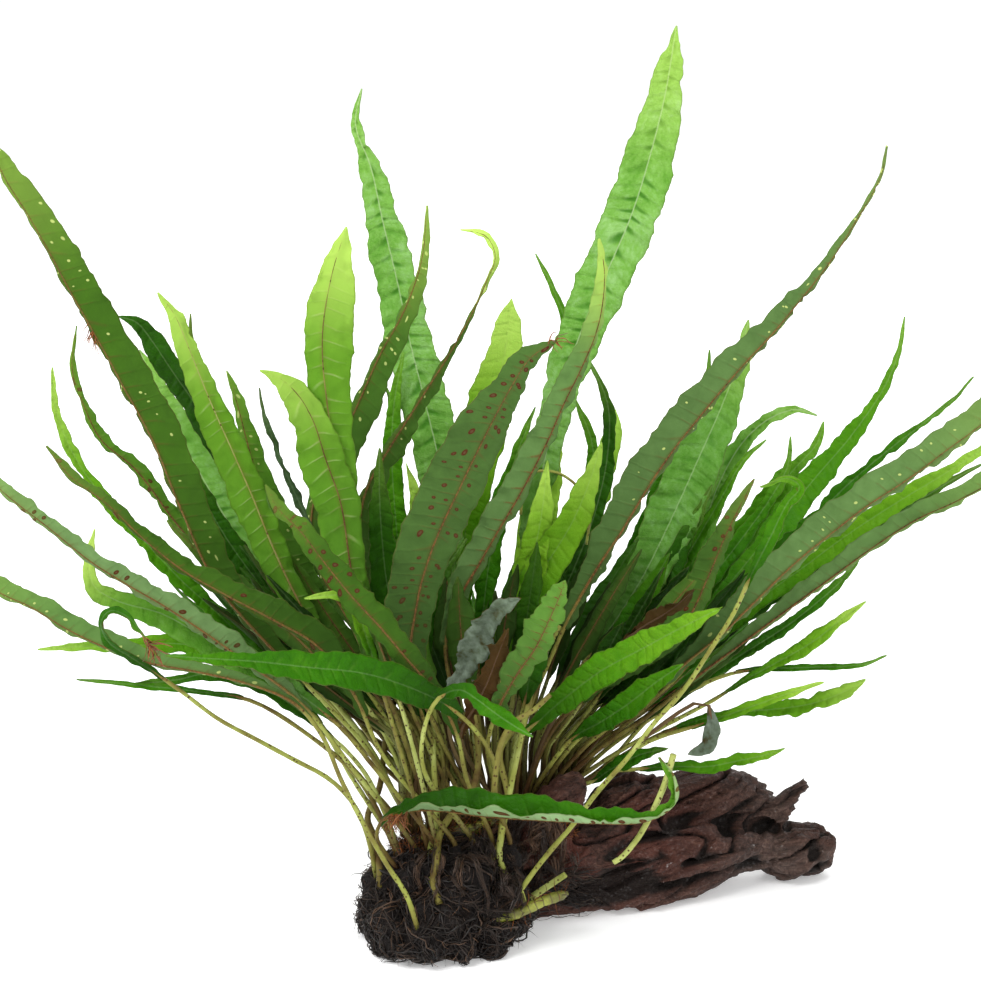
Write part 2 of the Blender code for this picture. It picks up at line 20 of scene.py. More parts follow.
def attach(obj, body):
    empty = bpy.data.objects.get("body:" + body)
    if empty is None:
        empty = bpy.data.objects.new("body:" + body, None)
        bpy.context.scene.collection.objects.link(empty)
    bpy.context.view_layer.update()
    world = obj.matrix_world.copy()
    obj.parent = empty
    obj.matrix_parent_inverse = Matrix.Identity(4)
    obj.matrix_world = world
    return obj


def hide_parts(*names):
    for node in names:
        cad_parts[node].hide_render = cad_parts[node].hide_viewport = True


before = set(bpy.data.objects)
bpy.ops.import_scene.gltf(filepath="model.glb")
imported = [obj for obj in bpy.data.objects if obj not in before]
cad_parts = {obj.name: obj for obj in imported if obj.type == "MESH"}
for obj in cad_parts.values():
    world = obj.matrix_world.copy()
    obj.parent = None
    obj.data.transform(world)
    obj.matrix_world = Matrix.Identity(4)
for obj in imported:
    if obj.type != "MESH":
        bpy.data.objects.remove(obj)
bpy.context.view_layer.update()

MM = 0.001
print("nodes in the frame:", len(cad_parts))

# %% [markdown]
# ## The sheet and the eye
#
# The clump was drawn as it is seen: from the front, 15 degrees above level, from 908 mm away. A
# place on the sheet, across and up in millimetres, stays where it is seen however far back the
# frond leans, so a frond's route can be drawn flat and leaned afterwards. The camera stands at
# the same eye, so the render and the drawing agree.

# %% The eye, and a point seen from it
EYE_DISTANCE = 908.0
EYE_PITCH = math.radians(15.0)
SHEET_CENTRE_UP = 140.0
SHEET_CENTRE_HEIGHT = 151.5
AHEAD = Vector((0, math.cos(EYE_PITCH), -math.sin(EYE_PITCH)))
UPWARD = Vector((0, math.sin(EYE_PITCH), math.cos(EYE_PITCH)))
EYE = Vector((0, 0, SHEET_CENTRE_HEIGHT)) - AHEAD * EYE_DISTANCE


def seen(across, up, back):
    """The point of space that lies `back` behind the origin and shows at this place on the sheet."""
    ray = AHEAD * EYE_DISTANCE + Vector((across, 0, 0)) + UPWARD * (up - SHEET_CENTRE_UP)
    return EYE + ray * ((back - EYE.y) / ray.y)


print("the eye stands at", [round(c) for c in EYE], "mm")

# %% [markdown]
# ## Small helpers for the tools
#
# Blender's operators act on whatever is selected, and loading the frame leaves its nodes
# selected. So each step first clears the selection and then picks its own piece.

# %% Selecting, applying and joining


def only(*things):
    """Selects these objects and nothing else. The first becomes the active one."""
    bpy.ops.object.select_all(action="DESELECT")
    for thing in things:
        thing.select_set(True)
    bpy.context.view_layer.objects.active = things[0]


def apply_all(thing):
    """Applies every modifier of this object in turn."""
    only(thing)
    for modifier in list(thing.modifiers):
        bpy.ops.object.modifier_apply(modifier=modifier.name)


def joined(name, things):
    """Joins these objects into the first of them and names it."""
    only(*things)
    if len(things) > 1:
        bpy.ops.object.join()
    things[0].name = things[0].data.name = name
    return things[0]


def placed(name, data):
    """A new object in the scene that holds this mesh, lamp or camera."""
    made = bpy.data.objects.new(name, data)
    bpy.context.scene.collection.objects.link(made)
    return made


def places_of(mesh):
    """The vertices of a mesh as rows of numbers."""
    rows = np.zeros(len(mesh.vertices) * 3)
    mesh.vertices.foreach_get("co", rows)
    return rows.reshape(-1, 3)


def move_to(mesh, rows):
    """Moves the vertices of a mesh to these places, in metres."""
    mesh.vertices.foreach_set("co", np.ascontiguousarray(rows, dtype=np.float32).ravel())
    mesh.update()


def note(mesh, name, values):
    """Keeps one number for each vertex under this name, for a material to read."""
    held = mesh.attributes.get(name) or mesh.attributes.new(name, "FLOAT", "POINT")
    held.data.foreach_set("value", np.broadcast_to(values, len(mesh.vertices)).astype(np.float32))


def noted(mesh, name):
    """The numbers that a mesh keeps under this name."""
    values = np.zeros(len(mesh.vertices), np.float32)
    mesh.attributes[name].data.foreach_get("value", values)
    return values


print("mesh helpers ready")

# %% [markdown]
# ## Shader maths in Python
#
# A pattern on a leaf is arithmetic: how far along, how far from the rib, near which vein. Wiring
# that by hand takes dozens of Math nodes. A small class wraps a node's socket instead, so that
# `1 - mask * 0.5` adds the two nodes it needs, and one method adds any other kind of node.

# %% Numbers and colours on a surface


class Socket:
    """The output of a node in a material, which can be used in sums like a number."""

    def __init__(self, tree, socket):
        self.tree, self.socket = tree, socket

    def maths(self, operation, *others):
        """One Math node that works on this number and the others."""
        return node(self.tree, "Math", {"operation": operation}, dict(enumerate((self, *others))))

    def __add__(self, other):
        return self.maths("ADD", other)

    def __sub__(self, other):
        return self.maths("SUBTRACT", other)

    def __rsub__(self, other):
        return node(self.tree, "Math", {"operation": "SUBTRACT"}, {0: other, 1: self})

    def __mul__(self, other):
        return self.maths("MULTIPLY", other)

    def __truediv__(self, other):
        return self.maths("DIVIDE", other)

    def __pow__(self, other):
        return self.maths("POWER", other)

    def __abs__(self):
        return self.maths("ABSOLUTE")

    __radd__, __rmul__ = __add__, __mul__

    def between(self, low, high, flip=False):
        """0 below `low`, 1 above `high` and smooth in between, or the other way round."""
        settings = {"interpolation_type": "SMOOTHSTEP"}
        values = {0: self, 1: low, 2: high, 3: 1.0 if flip else 0.0, 4: 0.0 if flip else 1.0}
        return node(self.tree, "MapRange", settings, values)

    def ramp(self, *stops):
        """A colour for each value: stops are (place, colour) pairs."""
        return node(self.tree, "ValToRGB", {"stops": stops}, {0: self})


def node(tree, kind, settings=None, values=None, output=0):
    """Adds a node: its settings first, then the numbers, colours or links of its sockets."""
    made = tree.nodes.new("ShaderNode" + kind)
    for key, value in (settings or {}).items():
        if key == "stops":
            while len(made.color_ramp.elements) < len(value):
                made.color_ramp.elements.new(0.5)
            for element, (place, colour) in zip(made.color_ramp.elements, value):
                element.position, element.color = place, (*colour, 1)
        else:
            setattr(made, key, value)
    for key, value in (values or {}).items():
        if isinstance(value, Socket):
            tree.links.new(value.socket, made.inputs[key])
        elif isinstance(value, tuple) and len(value) == 3 and made.inputs[key].type == "RGBA":
            made.inputs[key].default_value = (*value, 1)
        else:
            made.inputs[key].default_value = value
    return Socket(tree, made.outputs[output])


def mixed(factor, first, second):
    """Two colours mixed: the first where factor is 0, the second where it is 1."""
    return node(factor.tree, "Mix", {"data_type": "RGBA"}, {0: factor, 6: first, 7: second}, 2)


def new_finish(name):
    """An empty material and its node tree."""
    material = bpy.data.materials.new(name)
    material.use_nodes = True
    material.node_tree.nodes.clear()
    return material, material.node_tree


def covered(material, shader):
    """Gives the material this shader as its surface."""
    out = shader.tree.nodes.new("ShaderNodeOutputMaterial")
    shader.tree.links.new(shader.socket, out.inputs["Surface"])
    return material


def skin(tree, colour, roughness, specular, **others):
    """A Principled shader. Names like Coat_Weight stand for the sockets with those words."""
    sockets = {"Base Color": colour, "Roughness": roughness, "Specular IOR Level": specular}
    sockets.update({name.replace("_", " "): value for name, value in others.items()})
    return node(tree, "BsdfPrincipled", {}, sockets)


def kept(tree, name):
    """The number that the piece's mesh keeps under this name."""
    return node(tree, "Attribute", {"attribute_name": name}, output=2)


def place_on(tree, stretch=(1, 1, 1), turn=(0, 0, 0)):
    """Object coordinates in metres, turned and stretched."""
    where = node(tree, "TexCoord", output=3)
    return node(tree, "Mapping", {}, {0: where, 2: turn, 3: stretch})


def cloudy(tree, where, scale, detail=3.0, roughness=0.55):
    """Cloudy noise from 0 to 1."""
    values = {"Vector": where, "Scale": scale, "Detail": detail, "Roughness": roughness}
    return node(tree, "TexNoise", {}, values)


def raised(height, strength, distance):
    """The surface's direction where this height stands out of it."""
    return node(height.tree, "Bump", {}, {"Strength": strength, "Distance": distance, "Height": height})


print("shader helpers ready")

# %% [markdown]
# ## The finish of a blade
#
# A young blade is lime and thin enough to glow, a grown one is mid green and glossy above, an old
# one nearly black green. Below, every blade is duller and greyer. The side veins leave the rib
# every five or six millimetres and slant towards the tip: on a grown blade, dark folds between
# bulges, painted as shade; on a young one, pale lines. Each blade's mesh keeps, for every vertex,
# how far along and how far from the rib it lies, so both finishes can draw the veins with the same
# sum. Light that comes through a thin blade is a Translucent shader mixed in, more on young
# blades. The darker foot of a blade and the darker fronds deep in the clump are painted shade.

# %% The veins of a blade
VEIN_SPACING = 5.6
VEIN_SLANT = 0.42
SIDE_SHIFT = 0.27
YELLOW_TIP = (0.470, 0.690, 0.120)
MARGIN_BROWN = (0.110, 0.090, 0.025)
DEEP_SHADE = (0.004, 0.012, 0.001)
GLOWING_GREEN = (0.24, 0.58, 0.012)


def vein_count(tree):
    """Which side vein is level with this point: whole numbers lie on a vein."""
    offset = kept(tree, "offset")
    slanted = (kept(tree, "reach") + abs(offset) * VEIN_SLANT) / VEIN_SPACING
    return slanted + offset.maths("SIGN") * SIDE_SHIFT + kept(tree, "jitter")


def by_lot(tree, number):
    """A random number for each whole number, different on the two sides and from frond to frond."""
    offset, tone = kept(tree, "offset"), kept(tree, "tone") * 40
    lot = number + offset.maths("SIGN") * 100 + tone.maths("ROUND") * 7
    return node(tree, "TexWhiteNoise", {"noise_dimensions": "1D"}, {"W": lot})


def vein_pattern(tree):
    """How far this point is from the nearest side vein in mm, and a random number for that vein."""
    count = vein_count(tree)
    nearest = count.maths("ROUND")
    return abs(count - nearest) * VEIN_SPACING, by_lot(tree, nearest)


def painted_gloss_streaks(tree):
    """Cloudy streaks that run along the side veins, for the painted gloss."""
    where = node(tree, "CombineXYZ", {}, {0: vein_count(tree), 1: kept(tree, "offset") * 0.16,
                                         2: kept(tree, "tone") * 9})
    return cloudy(tree, where, 4.2, 4, 0.6)


def leaf_shader(tree, colour, roughness, bump):
    """A satin skin with some light passing through it, most through a young blade."""
    glow = kept(tree, "lime") * 0.24 + 0.02
    satin = skin(tree, colour, roughness, 0.07, Normal=bump)
    through = node(tree, "BsdfTranslucent", {}, {"Color": GLOWING_GREEN})
    return node(tree, "MixShader", {}, {0: glow, 1: satin, 2: through})


def ageing_and_foot_shade(tree):
    """How young the blade looks, darker to its foot partly by painted shade, its patches, mottling and
    grain.
    """
    along, lime = kept(tree, "along"), kept(tree, "lime")
    patches = cloudy(tree, place_on(tree), 45, 3)
    mottle = cloudy(tree, place_on(tree), 260, 3, 0.6)
    grain = cloudy(tree, place_on(tree), 1400, 2)
    # Lighter towards the tip: partly a young tip's own colour, partly painted shade at the foot.
    shade = lime * (0.42 + along * 0.62) + along * 0.06 + (patches - 0.5) * 0.30
    shade = shade + (mottle - 0.5) * 0.22 + (grain - 0.5) * 0.08 + kept(tree, "tone") * 0.05
    return shade, patches, mottle, grain


def with_age_and_shade(tree, colour, deep, withered):
    """Over a colour: painted shade at the foot and in the clump, its yellow tip, brown margin and
    withering.
    """
    along, across = kept(tree, "along"), abs(kept(tree, "across"))
    # Painted shade: the lower half of a blade darkens towards the deep colour.
    colour = mixed(along.between(-0.05, 0.50, flip=True) * 0.62, colour, deep)
    colour = mixed(along.between(0.70, 0.98) * kept(tree, "tip"), colour, YELLOW_TIP)
    colour = mixed(across.between(0.94, 1.0) * 0.40, colour, MARGIN_BROWN)
    colour = mixed(kept(tree, "wilt"), colour, withered)
    return mixed(kept(tree, "shade"), colour, DEEP_SHADE)


print("one vein every", VEIN_SPACING, "mm")

# %% [markdown]
# ## The upper side
#
# Two looks are mixed here by a number of the frond's own, its sheen: plain satin green, and a
# painted highlight of silver green for a blade that stands in the light, with painted shade in
# the creases where its veins sink in. The rib is a pale line, and a fine net of small veins raises
# the skin between the side veins.

# %% The upper side
UPPER_SHADES = ((0.0, (0.009, 0.038, 0.001)), (0.28, (0.028, 0.140, 0.0015)),
                (0.50, (0.068, 0.230, 0.004)), (0.75, (0.170, 0.380, 0.015)),
                (1.0, (0.350, 0.590, 0.060)))
# Painted highlight: the silver green gloss of a blade in the light
PAINTED_SHEEN_SHADES = ((0.36, (0.105, 0.300, 0.030)), (0.50, (0.200, 0.430, 0.080)),
                (0.64, (0.310, 0.550, 0.190)))
RIB_PALE = (0.400, 0.560, 0.260)
# Painted shade in the creases where the side veins sink in
CREASE_SHADE = (0.034, 0.165, 0.008)
WITHERED = ((0.34, (0.045, 0.026, 0.013)), (0.44, (0.090, 0.110, 0.080)),
            (0.66, (0.180, 0.220, 0.175)))


def upper_side():
    """The satin green of a blade seen from above, or its painted silver highlight and crease shade."""
    material, tree = new_finish("leaf upper side")
    across, lime = abs(kept(tree, "across")), kept(tree, "lime")
    sheen = kept(tree, "sheen")
    from_vein, chance = vein_pattern(tree)
    shade, patches, mottle, _ = ageing_and_foot_shade(tree)
    # The painted highlight lies in cloudy patches and in streaks along the veins.
    painted_gloss = patches * 0.35 + mottle * 0.35 + painted_gloss_streaks(tree) * 0.30
    colour = mixed(sheen, shade.ramp(*UPPER_SHADES), painted_gloss.ramp(*PAINTED_SHEEN_SHADES))
    fades = (across + chance * 0.5).between(0.35, 0.95, flip=True) * (chance * 1.2 - 0.1)
    vein = from_vein.between(0.05, 0.75, flip=True) * fades
    # Dark folds at the side veins: painted shade, stronger on blades with painted sheen.
    colour = mixed(vein * (1 - lime * 0.8 + sheen * 0.35) * 0.65, colour, (0.030, 0.140, 0.008))
    colour = mixed(vein * lime * 0.30, colour, (0.450, 0.640, 0.120))
    # Painted shade in creases near the rib, at some veins, on blades with painted sheen.
    shaded_creases = (across + chance * 0.5).between(0.45, 0.95, flip=True) * chance.between(0.0, 0.32)
    crease_shade = (from_vein + across * 1.1).between(0.45, 1.65, flip=True) * shaded_creases
    colour = mixed(crease_shade * sheen, colour, CREASE_SHADE)
    # A pale rib line, paler still where the blade has painted sheen.
    rib = abs(kept(tree, "offset")).between(0.14, 0.32, flip=True)
    colour = mixed(rib * (0.12 + sheen * 0.60), colour, RIB_PALE)
    withered = (mottle * 0.7 + patches * 0.3).ramp(*WITHERED)
    # Painted shade at the foot in deep green, and grey withered skin.
    colour = with_age_and_shade(tree, colour, (0.008, 0.034, 0.001), withered)
    net = node(tree, "TexVoronoi", {"feature": "DISTANCE_TO_EDGE"},
               {"Vector": place_on(tree), "Scale": 620})
    height = from_vein.between(0.0, 1.4) * 0.7 + net.between(0.0, 0.12) * 0.22 + mottle * 1.1
    gloss = 0.34 + patches * 0.25 + kept(tree, "wilt") * 0.3
    return covered(material, leaf_shader(tree, colour, gloss, raised(height, 0.6, 0.0007)))


UPPER_SIDE = upper_side()
print("made", UPPER_SIDE.name)

# %% [markdown]
# ## The under side and its spore spots
#
# The under side carries the sori, round heaps of spores in two rows beside the rib: pale yellow
# while they ripen and red brown when they are ripe. Each lies between two side veins, so its
# place follows from the vein sum. A random number for each gap leaves some of them out.

# %% The under side
UNDER_SHADES = ((0.0, (0.030, 0.078, 0.007)), (0.25, (0.046, 0.125, 0.008)),
                (0.50, (0.080, 0.220, 0.009)), (0.75, (0.130, 0.310, 0.014)),
                (1.0, (0.200, 0.405, 0.032)))
# The grey veil of the under side, partly painted glare
GREY_VEIL_AND_GLARE = (0.270, 0.410, 0.190)
SPORE_PALE = (0.420, 0.500, 0.150)
SPORE_BROWN = (0.075, 0.016, 0.006)
SPORE_CORE = (0.095, 0.050, 0.022)
VEIN_DARK, VEIN_PALE = (0.022, 0.050, 0.010), (0.420, 0.610, 0.190)
# The rows of spore heaps beside the rib: how far out, as a share, and how much that varies
SPOT_ROWS = ((0.34, 0.34), (0.66, 0.30))


def spore_spot(tree, row, scatter, share, seed):
    """How far this point is from the spore heap of its gap in mm, and whether that gap has one."""
    count = vein_count(tree)
    gap = count.maths("FLOOR")
    chance = by_lot(tree, gap + seed)
    place = by_lot(tree, gap + seed + 31)
    aside = (abs(kept(tree, "across")) - row - (place - 0.5) * scatter) * kept(tree, "half")
    ahead = (count - gap - 0.35 - place * 0.30) * VEIN_SPACING
    away = (aside * aside + ahead * ahead) ** 0.5
    here = (kept(tree, "spots") * share - chance).between(0.0, 0.01)
    return away - place * 0.25, here * kept(tree, "along").between(0.10, 0.16)


def under_side():
    """The duller green below, with its stained rib, veins, spore spots and a veil partly of painted
    glare.
    """
    material, tree = new_finish("leaf under side")
    along, across, lime = kept(tree, "along"), abs(kept(tree, "across")), kept(tree, "lime")
    from_vein, chance = vein_pattern(tree)
    shade, patches, mottle, grain = ageing_and_foot_shade(tree)
    # A grey veil: partly the under side's own paler colour, partly painted glare.
    veil_and_glare = kept(tree, "pale") * (0.25 + patches * 0.7 + mottle * 0.5)
    colour = mixed(veil_and_glare, shade.ramp(*UNDER_SHADES), GREY_VEIL_AND_GLARE)
    vein = from_vein.between(0.04, 0.50, flip=True) * across.between(0.35, 0.90, flip=True)
    colour = mixed(vein * (1 - lime) * chance * 0.22, colour, VEIN_DARK)
    colour = mixed(vein * lime.between(0.3, 0.8) * (0.15 + chance * 0.40), colour, VEIN_PALE)
    flecks = vein * (across + grain).between(0.70, 1.15, flip=True) * kept(tree, "flecks")
    colour = mixed(flecks, colour, (0.140, 0.050, 0.018))
    stain = abs(kept(tree, "offset")).between(0.30, 1.5, flip=True) * (0.1 + grain * 0.9)
    colour = mixed(stain * (1 - along * 0.6) * 0.55, colour, (0.130, 0.060, 0.020))
    ripe = kept(tree, "ripe")
    height = from_vein.between(0.0, 0.9, flip=True) * 0.45 + mottle * 0.9
    for seed, (row, scatter) in enumerate(SPOT_ROWS):
        share = kept(tree, "outer") if seed else 1
        away, here = spore_spot(tree, row, scatter, share, seed * 57)
        away = away - ripe * 0.32 + 0.08
        spot = away.between(0.30, 0.50, flip=True) * here
        ring = spot * away.between(-0.12, 0.10)
        colour = mixed(spot * (1 - ripe), colour, SPORE_PALE)
        colour = mixed(spot * ripe, colour, SPORE_CORE)
        colour = mixed(ring * ripe, colour, SPORE_BROWN)
        height = height + spot * 0.8
    # Painted shade at the foot in deep green, and brown withered skin.
    colour = with_age_and_shade(tree, colour, (0.018, 0.050, 0.005), (0.075, 0.022, 0.009))
    bump = raised(height, 0.5, 0.0006)
    return covered(material, leaf_shader(tree, colour, 0.50 + patches * 0.2, bump))


UNDER_SIDE = under_side()
print("made", UNDER_SIDE.name)

# %% [markdown]
# ## The stalk and the rib
#
# The stalk is yellow green and freckled with brown scales. It runs on under the blade as the rib,
# where the scales close up and turn it rusty brown, except on young blades, where it stays green
# towards the tip.

# %% Stalk finish


def stalk_finish():
    """Yellow green with freckles, a brown foot, a rusty rib and painted shade deep in the clump."""
    material, tree = new_finish("stalk and rib")
    along, tone, lime = kept(tree, "along"), kept(tree, "tone"), kept(tree, "lime")
    where = place_on(tree)
    patches = cloudy(tree, where, 90, 3)
    grain = cloudy(tree, where, 1100, 2)
    green = (patches + tone * 0.30).ramp(
        (0.22, (0.085, 0.052, 0.014)), (0.45, (0.200, 0.185, 0.040)),
        (0.62, (0.270, 0.300, 0.060)), (0.85, (0.400, 0.450, 0.130)))
    freckles = node(tree, "TexVoronoi", {"feature": "F1"}, {"Vector": where, "Scale": 640})
    colour = mixed(freckles.between(0.16, 0.34, flip=True) * patches.between(0.2, 0.6),
                   green, (0.060, 0.028, 0.011))
    foot = along.between(-1.0, -0.40, flip=True) * kept(tree, "foot")
    colour = mixed(foot * (0.4 + patches * 0.8), colour, (0.075, 0.030, 0.013))
    rust = grain.ramp((0.35, (0.050, 0.020, 0.006)), (0.65, (0.190, 0.085, 0.024)))
    young = lime.between(0.45, 0.85)
    on_blade = along.between(-0.06, 0.10) * (1 - young * along.between(0.15, 0.60) * 0.92)
    colour = mixed(on_blade * (0.55 + grain * 0.6), colour, rust)
    colour = mixed(kept(tree, "wilt"), colour, (0.110, 0.065, 0.032))
    # Painted shade on the stalks of fronds deep in the clump.
    colour = mixed(kept(tree, "shade"), colour, (0.020, 0.012, 0.004))
    bump = raised(grain + freckles * 0.6, 0.5, 0.0004)
    return covered(material, skin(tree, colour, 0.42 + grain * 0.2, 0.12, Normal=bump))


STALK = stalk_finish()
print("made", STALK.name)

# %% [markdown]
# ## The blank of a frond
#
# Every frond starts as the same blank: a flat grid given a second face by Solidify, which is the
# blade, and a cylinder ringed along its length, which is the stalk and the rib. The blank is
# modelled once for each number of rings and copied, and each copy is then bent along its own
# route by a formula, because no operator bends a sheet along a hundred different curves.

# %% Blanks
RIB_SIDES = 8
FINISHES = (UPPER_SIDE, UNDER_SIDE, STALK)
blanks = {}


def blade_blank(rings, columns):
    """A flat sheet of two faces: its upper side, and its under side with the rim."""
    bpy.ops.mesh.primitive_grid_add(x_subdivisions=rings, y_subdivisions=columns, size=2)
    sheet = bpy.context.active_object
    for finish in FINISHES:
        sheet.data.materials.append(finish)
    wall = sheet.modifiers.new("two faces", "SOLIDIFY")
    wall.thickness, wall.offset = 0.2, -1
    wall.material_offset = wall.material_offset_rim = 1
    apply_all(sheet)
    note(sheet.data, "stalk", 0)
    return sheet


def stalk_blank(rings):
    """A rod along X, cut into rings."""
    bpy.ops.mesh.primitive_cylinder_add(vertices=RIB_SIDES, radius=1, depth=2,
                                        rotation=(0, math.radians(90), 0))
    rod = bpy.context.active_object
    bpy.ops.object.transform_apply(location=False, rotation=True, scale=False)
    for finish in FINISHES:
        rod.data.materials.append(finish)
    for face in rod.data.polygons:
        face.material_index, face.select = 2, False
    for vertex in rod.data.vertices:
        vertex.select = False
    for edge in rod.data.edges:
        a, b = (rod.data.vertices[i].co for i in edge.vertices)
        edge.select = abs(a.x - b.x) > 1
    bpy.context.tool_settings.mesh_select_mode = (False, True, False)
    bpy.ops.object.mode_set(mode="EDIT")
    bpy.ops.mesh.subdivide(number_cuts=rings)
    bpy.ops.object.mode_set(mode="OBJECT")
    note(rod.data, "stalk", 1)
    return rod


def frond_blank(rings, columns):
    """The mesh of a blank with this many rings along and columns across its blade."""
    if (rings, columns) not in blanks:
        blank = joined("blank", [blade_blank(rings, columns), stalk_blank(rings * 2 // 3)])
        only(blank)
        bpy.ops.object.shade_smooth()
        blanks[rings, columns] = blank.data.copy()
        bpy.data.objects.remove(blank)
    return blanks[rings, columns]


first = frond_blank(40, 8)
print("a small blank has", len(first.polygons), "faces")

# %% [markdown]
# ## The route of a frond
#
# A frond leaves the creeping stem at right angles, rises a few millimetres and then follows its
# drawn route. A Catmull-Rom curve through the drawn points keeps it smooth. The blade's two
# directions at each point come from the eye: `across` is the direction in which it shows its full
# width, and a turn in degrees swings it out of that.

# %% Smooth lines and the directions along them


def smooth_line(points, steps=12):
    """A dense centripetal Catmull-Rom curve through the points, with the length up to each."""
    p = np.array([tuple(q) for q in points], dtype=float)
    p = np.vstack([2 * p[0] - p[1], p, 2 * p[-1] - p[-2]])
    knots = np.concatenate([[0], np.cumsum(np.linalg.norm(np.diff(p, axis=0), axis=1) ** 0.5)])
    dense = [p[1]]
    for i in range(1, len(p) - 2):
        a, b, c, d = knots[i - 1:i + 3]
        for t in np.linspace(b, c, steps + 1)[1:]:
            ab = ((b - t) * p[i - 1] + (t - a) * p[i]) / (b - a)
            bc = ((c - t) * p[i] + (t - b) * p[i + 1]) / (c - b)
            cd = ((d - t) * p[i + 1] + (t - c) * p[i + 2]) / (d - c)
            abc = ((c - t) * ab + (t - a) * bc) / (c - a)
            bcd = ((d - t) * bc + (t - b) * cd) / (d - b)
            dense.append(((c - t) * abc + (t - b) * bcd) / (c - b))
    dense = np.array(dense)
    lengths = np.concatenate([[0], np.cumsum(np.linalg.norm(np.diff(dense, axis=0), axis=1))])
    return dense, lengths


def unit(rows):
    """The same directions, each of length one."""
    return rows / np.maximum(np.linalg.norm(rows, axis=-1, keepdims=True), 1e-9)


def points_at(line, distances):
    """The points of a line at these lengths along it."""
    dense, lengths = line
    return np.stack([np.interp(distances, lengths, dense[:, k]) for k in range(3)], axis=-1)


def run_at(line, distances):
    """The points of a line at these lengths along it, and its direction at each."""
    step = line[1][-1] * 0.01
    return points_at(line, distances), unit(points_at(line, distances + step)
                                            - points_at(line, distances - step))


def towards_eye(middles, runs, turns, shows):
    """The blade's direction across and the direction its upper side faces, at each point."""
    across = unit(np.cross(runs, np.array(EYE) - middles))
    face = unit(np.cross(across, runs)) * shows
    turns = np.radians(turns)[..., None]
    return (across * np.cos(turns) + face * np.sin(turns),
            face * np.cos(turns) - across * np.sin(turns))


LEAN_POWER = 1.3
FIRST_RISE = 4.0


def frond_route(start, first_way, sheet_points, tip_back, bow=0.0):
    """The centre line of a frond in space: its start, a short rise along `first_way`, its route."""
    flat = [Vector(point) for point in sheet_points]
    steps = [0.0]
    for before, after in zip(flat, flat[1:]):
        steps.append(steps[-1] + (after - before).length)
    lead = (seen(*sheet_points[0], start.y) - start).length
    total = lead + steps[-1]
    points = [start]
    if first_way is not None:
        points.append(start + first_way * FIRST_RISE)
    for point, step in zip(sheet_points, steps):
        share = (lead + step) / total
        back = start.y + (tip_back - start.y) * share ** LEAN_POWER + bow * math.sin(math.pi * share)
        points.append(seen(*point, back))
    return smooth_line(points)


print("route helpers ready")

# %% [markdown]
# ## Shaping a frond
#
# The outline is a formula: narrow at the foot, straight sides, and a tip that is blunt or drawn
# out. Over it go the things that make a java fern's blade look alive: the gutter along the rib,
# the bulge between every two side veins, margins that ripple out of the plane and wander in it.
# All of them are sums of sines with phases drawn from the frond's own name, so that each frond
# is different and comes out the same every time.

# %% The shape of one frond
STALK_WIDTH = 1.55
RIB_WIDTH = 0.8
BLADE_FOOT_WIDTH = 1.5
BLADE_THICKNESS = 0.55
MARGIN_THICKNESS = 0.26
TIP_HALF_WIDTH = 0.2
GUTTER = 0.3
GUTTER_REACH = 0.8
RIB_ENDS = 0.985
TWIST, TWIST_WAVE = 8, 60
CRUMPLE, CRUMPLE_ALONG, CRUMPLE_ACROSS = 1.6, 17, 11
RIPPLE_WAVES = (19, 23)
# Waves of the margin in the blade's plane: their length on the left and the right, and their size
MARGIN_WAVES = ((26, 21, 1), (10, 9, 0.5), (5.5, 4.7, 0.35))
BULGES = 199
UPPER, UNDER = 1, -1
DARK, GREEN, LIME, GREY = "dark", "green", "lime", "dead"
LIMENESS = {DARK: 0.10, GREEN: 0.42, LIME: 0.88, GREY: 0.30}


@dataclass
class Leaf:
    """How one frond is drawn: lengths in mm, angles in degrees, shares from 0 to 1."""

    width: float
    bare: float  # share of its length that is bare stalk
    tip_back: float  # how far behind the origin its tip lies
    shows: int  # the side that faces the front
    colour: str
    route: list  # the places on the sheet that it runs through
    turns: tuple = (0, 0)  # how far it is swung out of facing the front, at foot and tip
    drawn_out: float = 0.4  # 0 for a blunt tip, 1 for a long one
    widths: tuple = ()  # even steps from foot to tip, where the outline isn't the formula's
    rib: float = 0.0  # where the rib lies: -1 on the left margin, 1 on the right
    folds: tuple = (8, 8)  # how far its left and right half are folded up
    ripple: float = 0.8  # mm that its margins ripple out of the plane
    wavy: float = 0.45  # mm that its margins wander in the plane
    bulge: float = 0.6  # how far it swells between the side veins
    lime: float = None  # how young it looks, where that isn't as its colour says
    sheen: float = 0.0  # how much painted silver highlight, and painted crease shade, its upper side has
    pale: float = 0.04  # a grey veil over its under side, partly its own paler colour and partly painted glare
    tip: float = 0.12  # how yellow its tip is
    spots: float = 0.0  # the share of the gaps between veins that have a spore heap
    outer: float = 0.45  # the same for the outer row, as a share of that
    flecks: float = 0.25  # brown flecks on the veins of its under side
    ripe: float = 0.0  # 0 for pale spore heaps, 1 for brown ones
    wilt: float = 0.0
    shade: float = 0.0  # how deep in the shade it stands
    foot: float = 1.0  # how brown the foot of its stalk is
    tone: float = None  # a small change of its green, random where it isn't given
    fine: float = 1.2  # mm from ring to ring of its mesh


def blade_width(share, drawn_out):
    """Width along a blade, as a share of its greatest: a slow start, straight sides, a long tip."""
    falls_from = 0.55 - 0.25 * drawn_out
    rise = 1 - (1 - np.minimum(share / 0.5, 1.0)) ** 2
    past = np.maximum((share - falls_from) / (1 - falls_from), 0.0)
    return rise * (1 - past ** (2.2 - drawn_out))


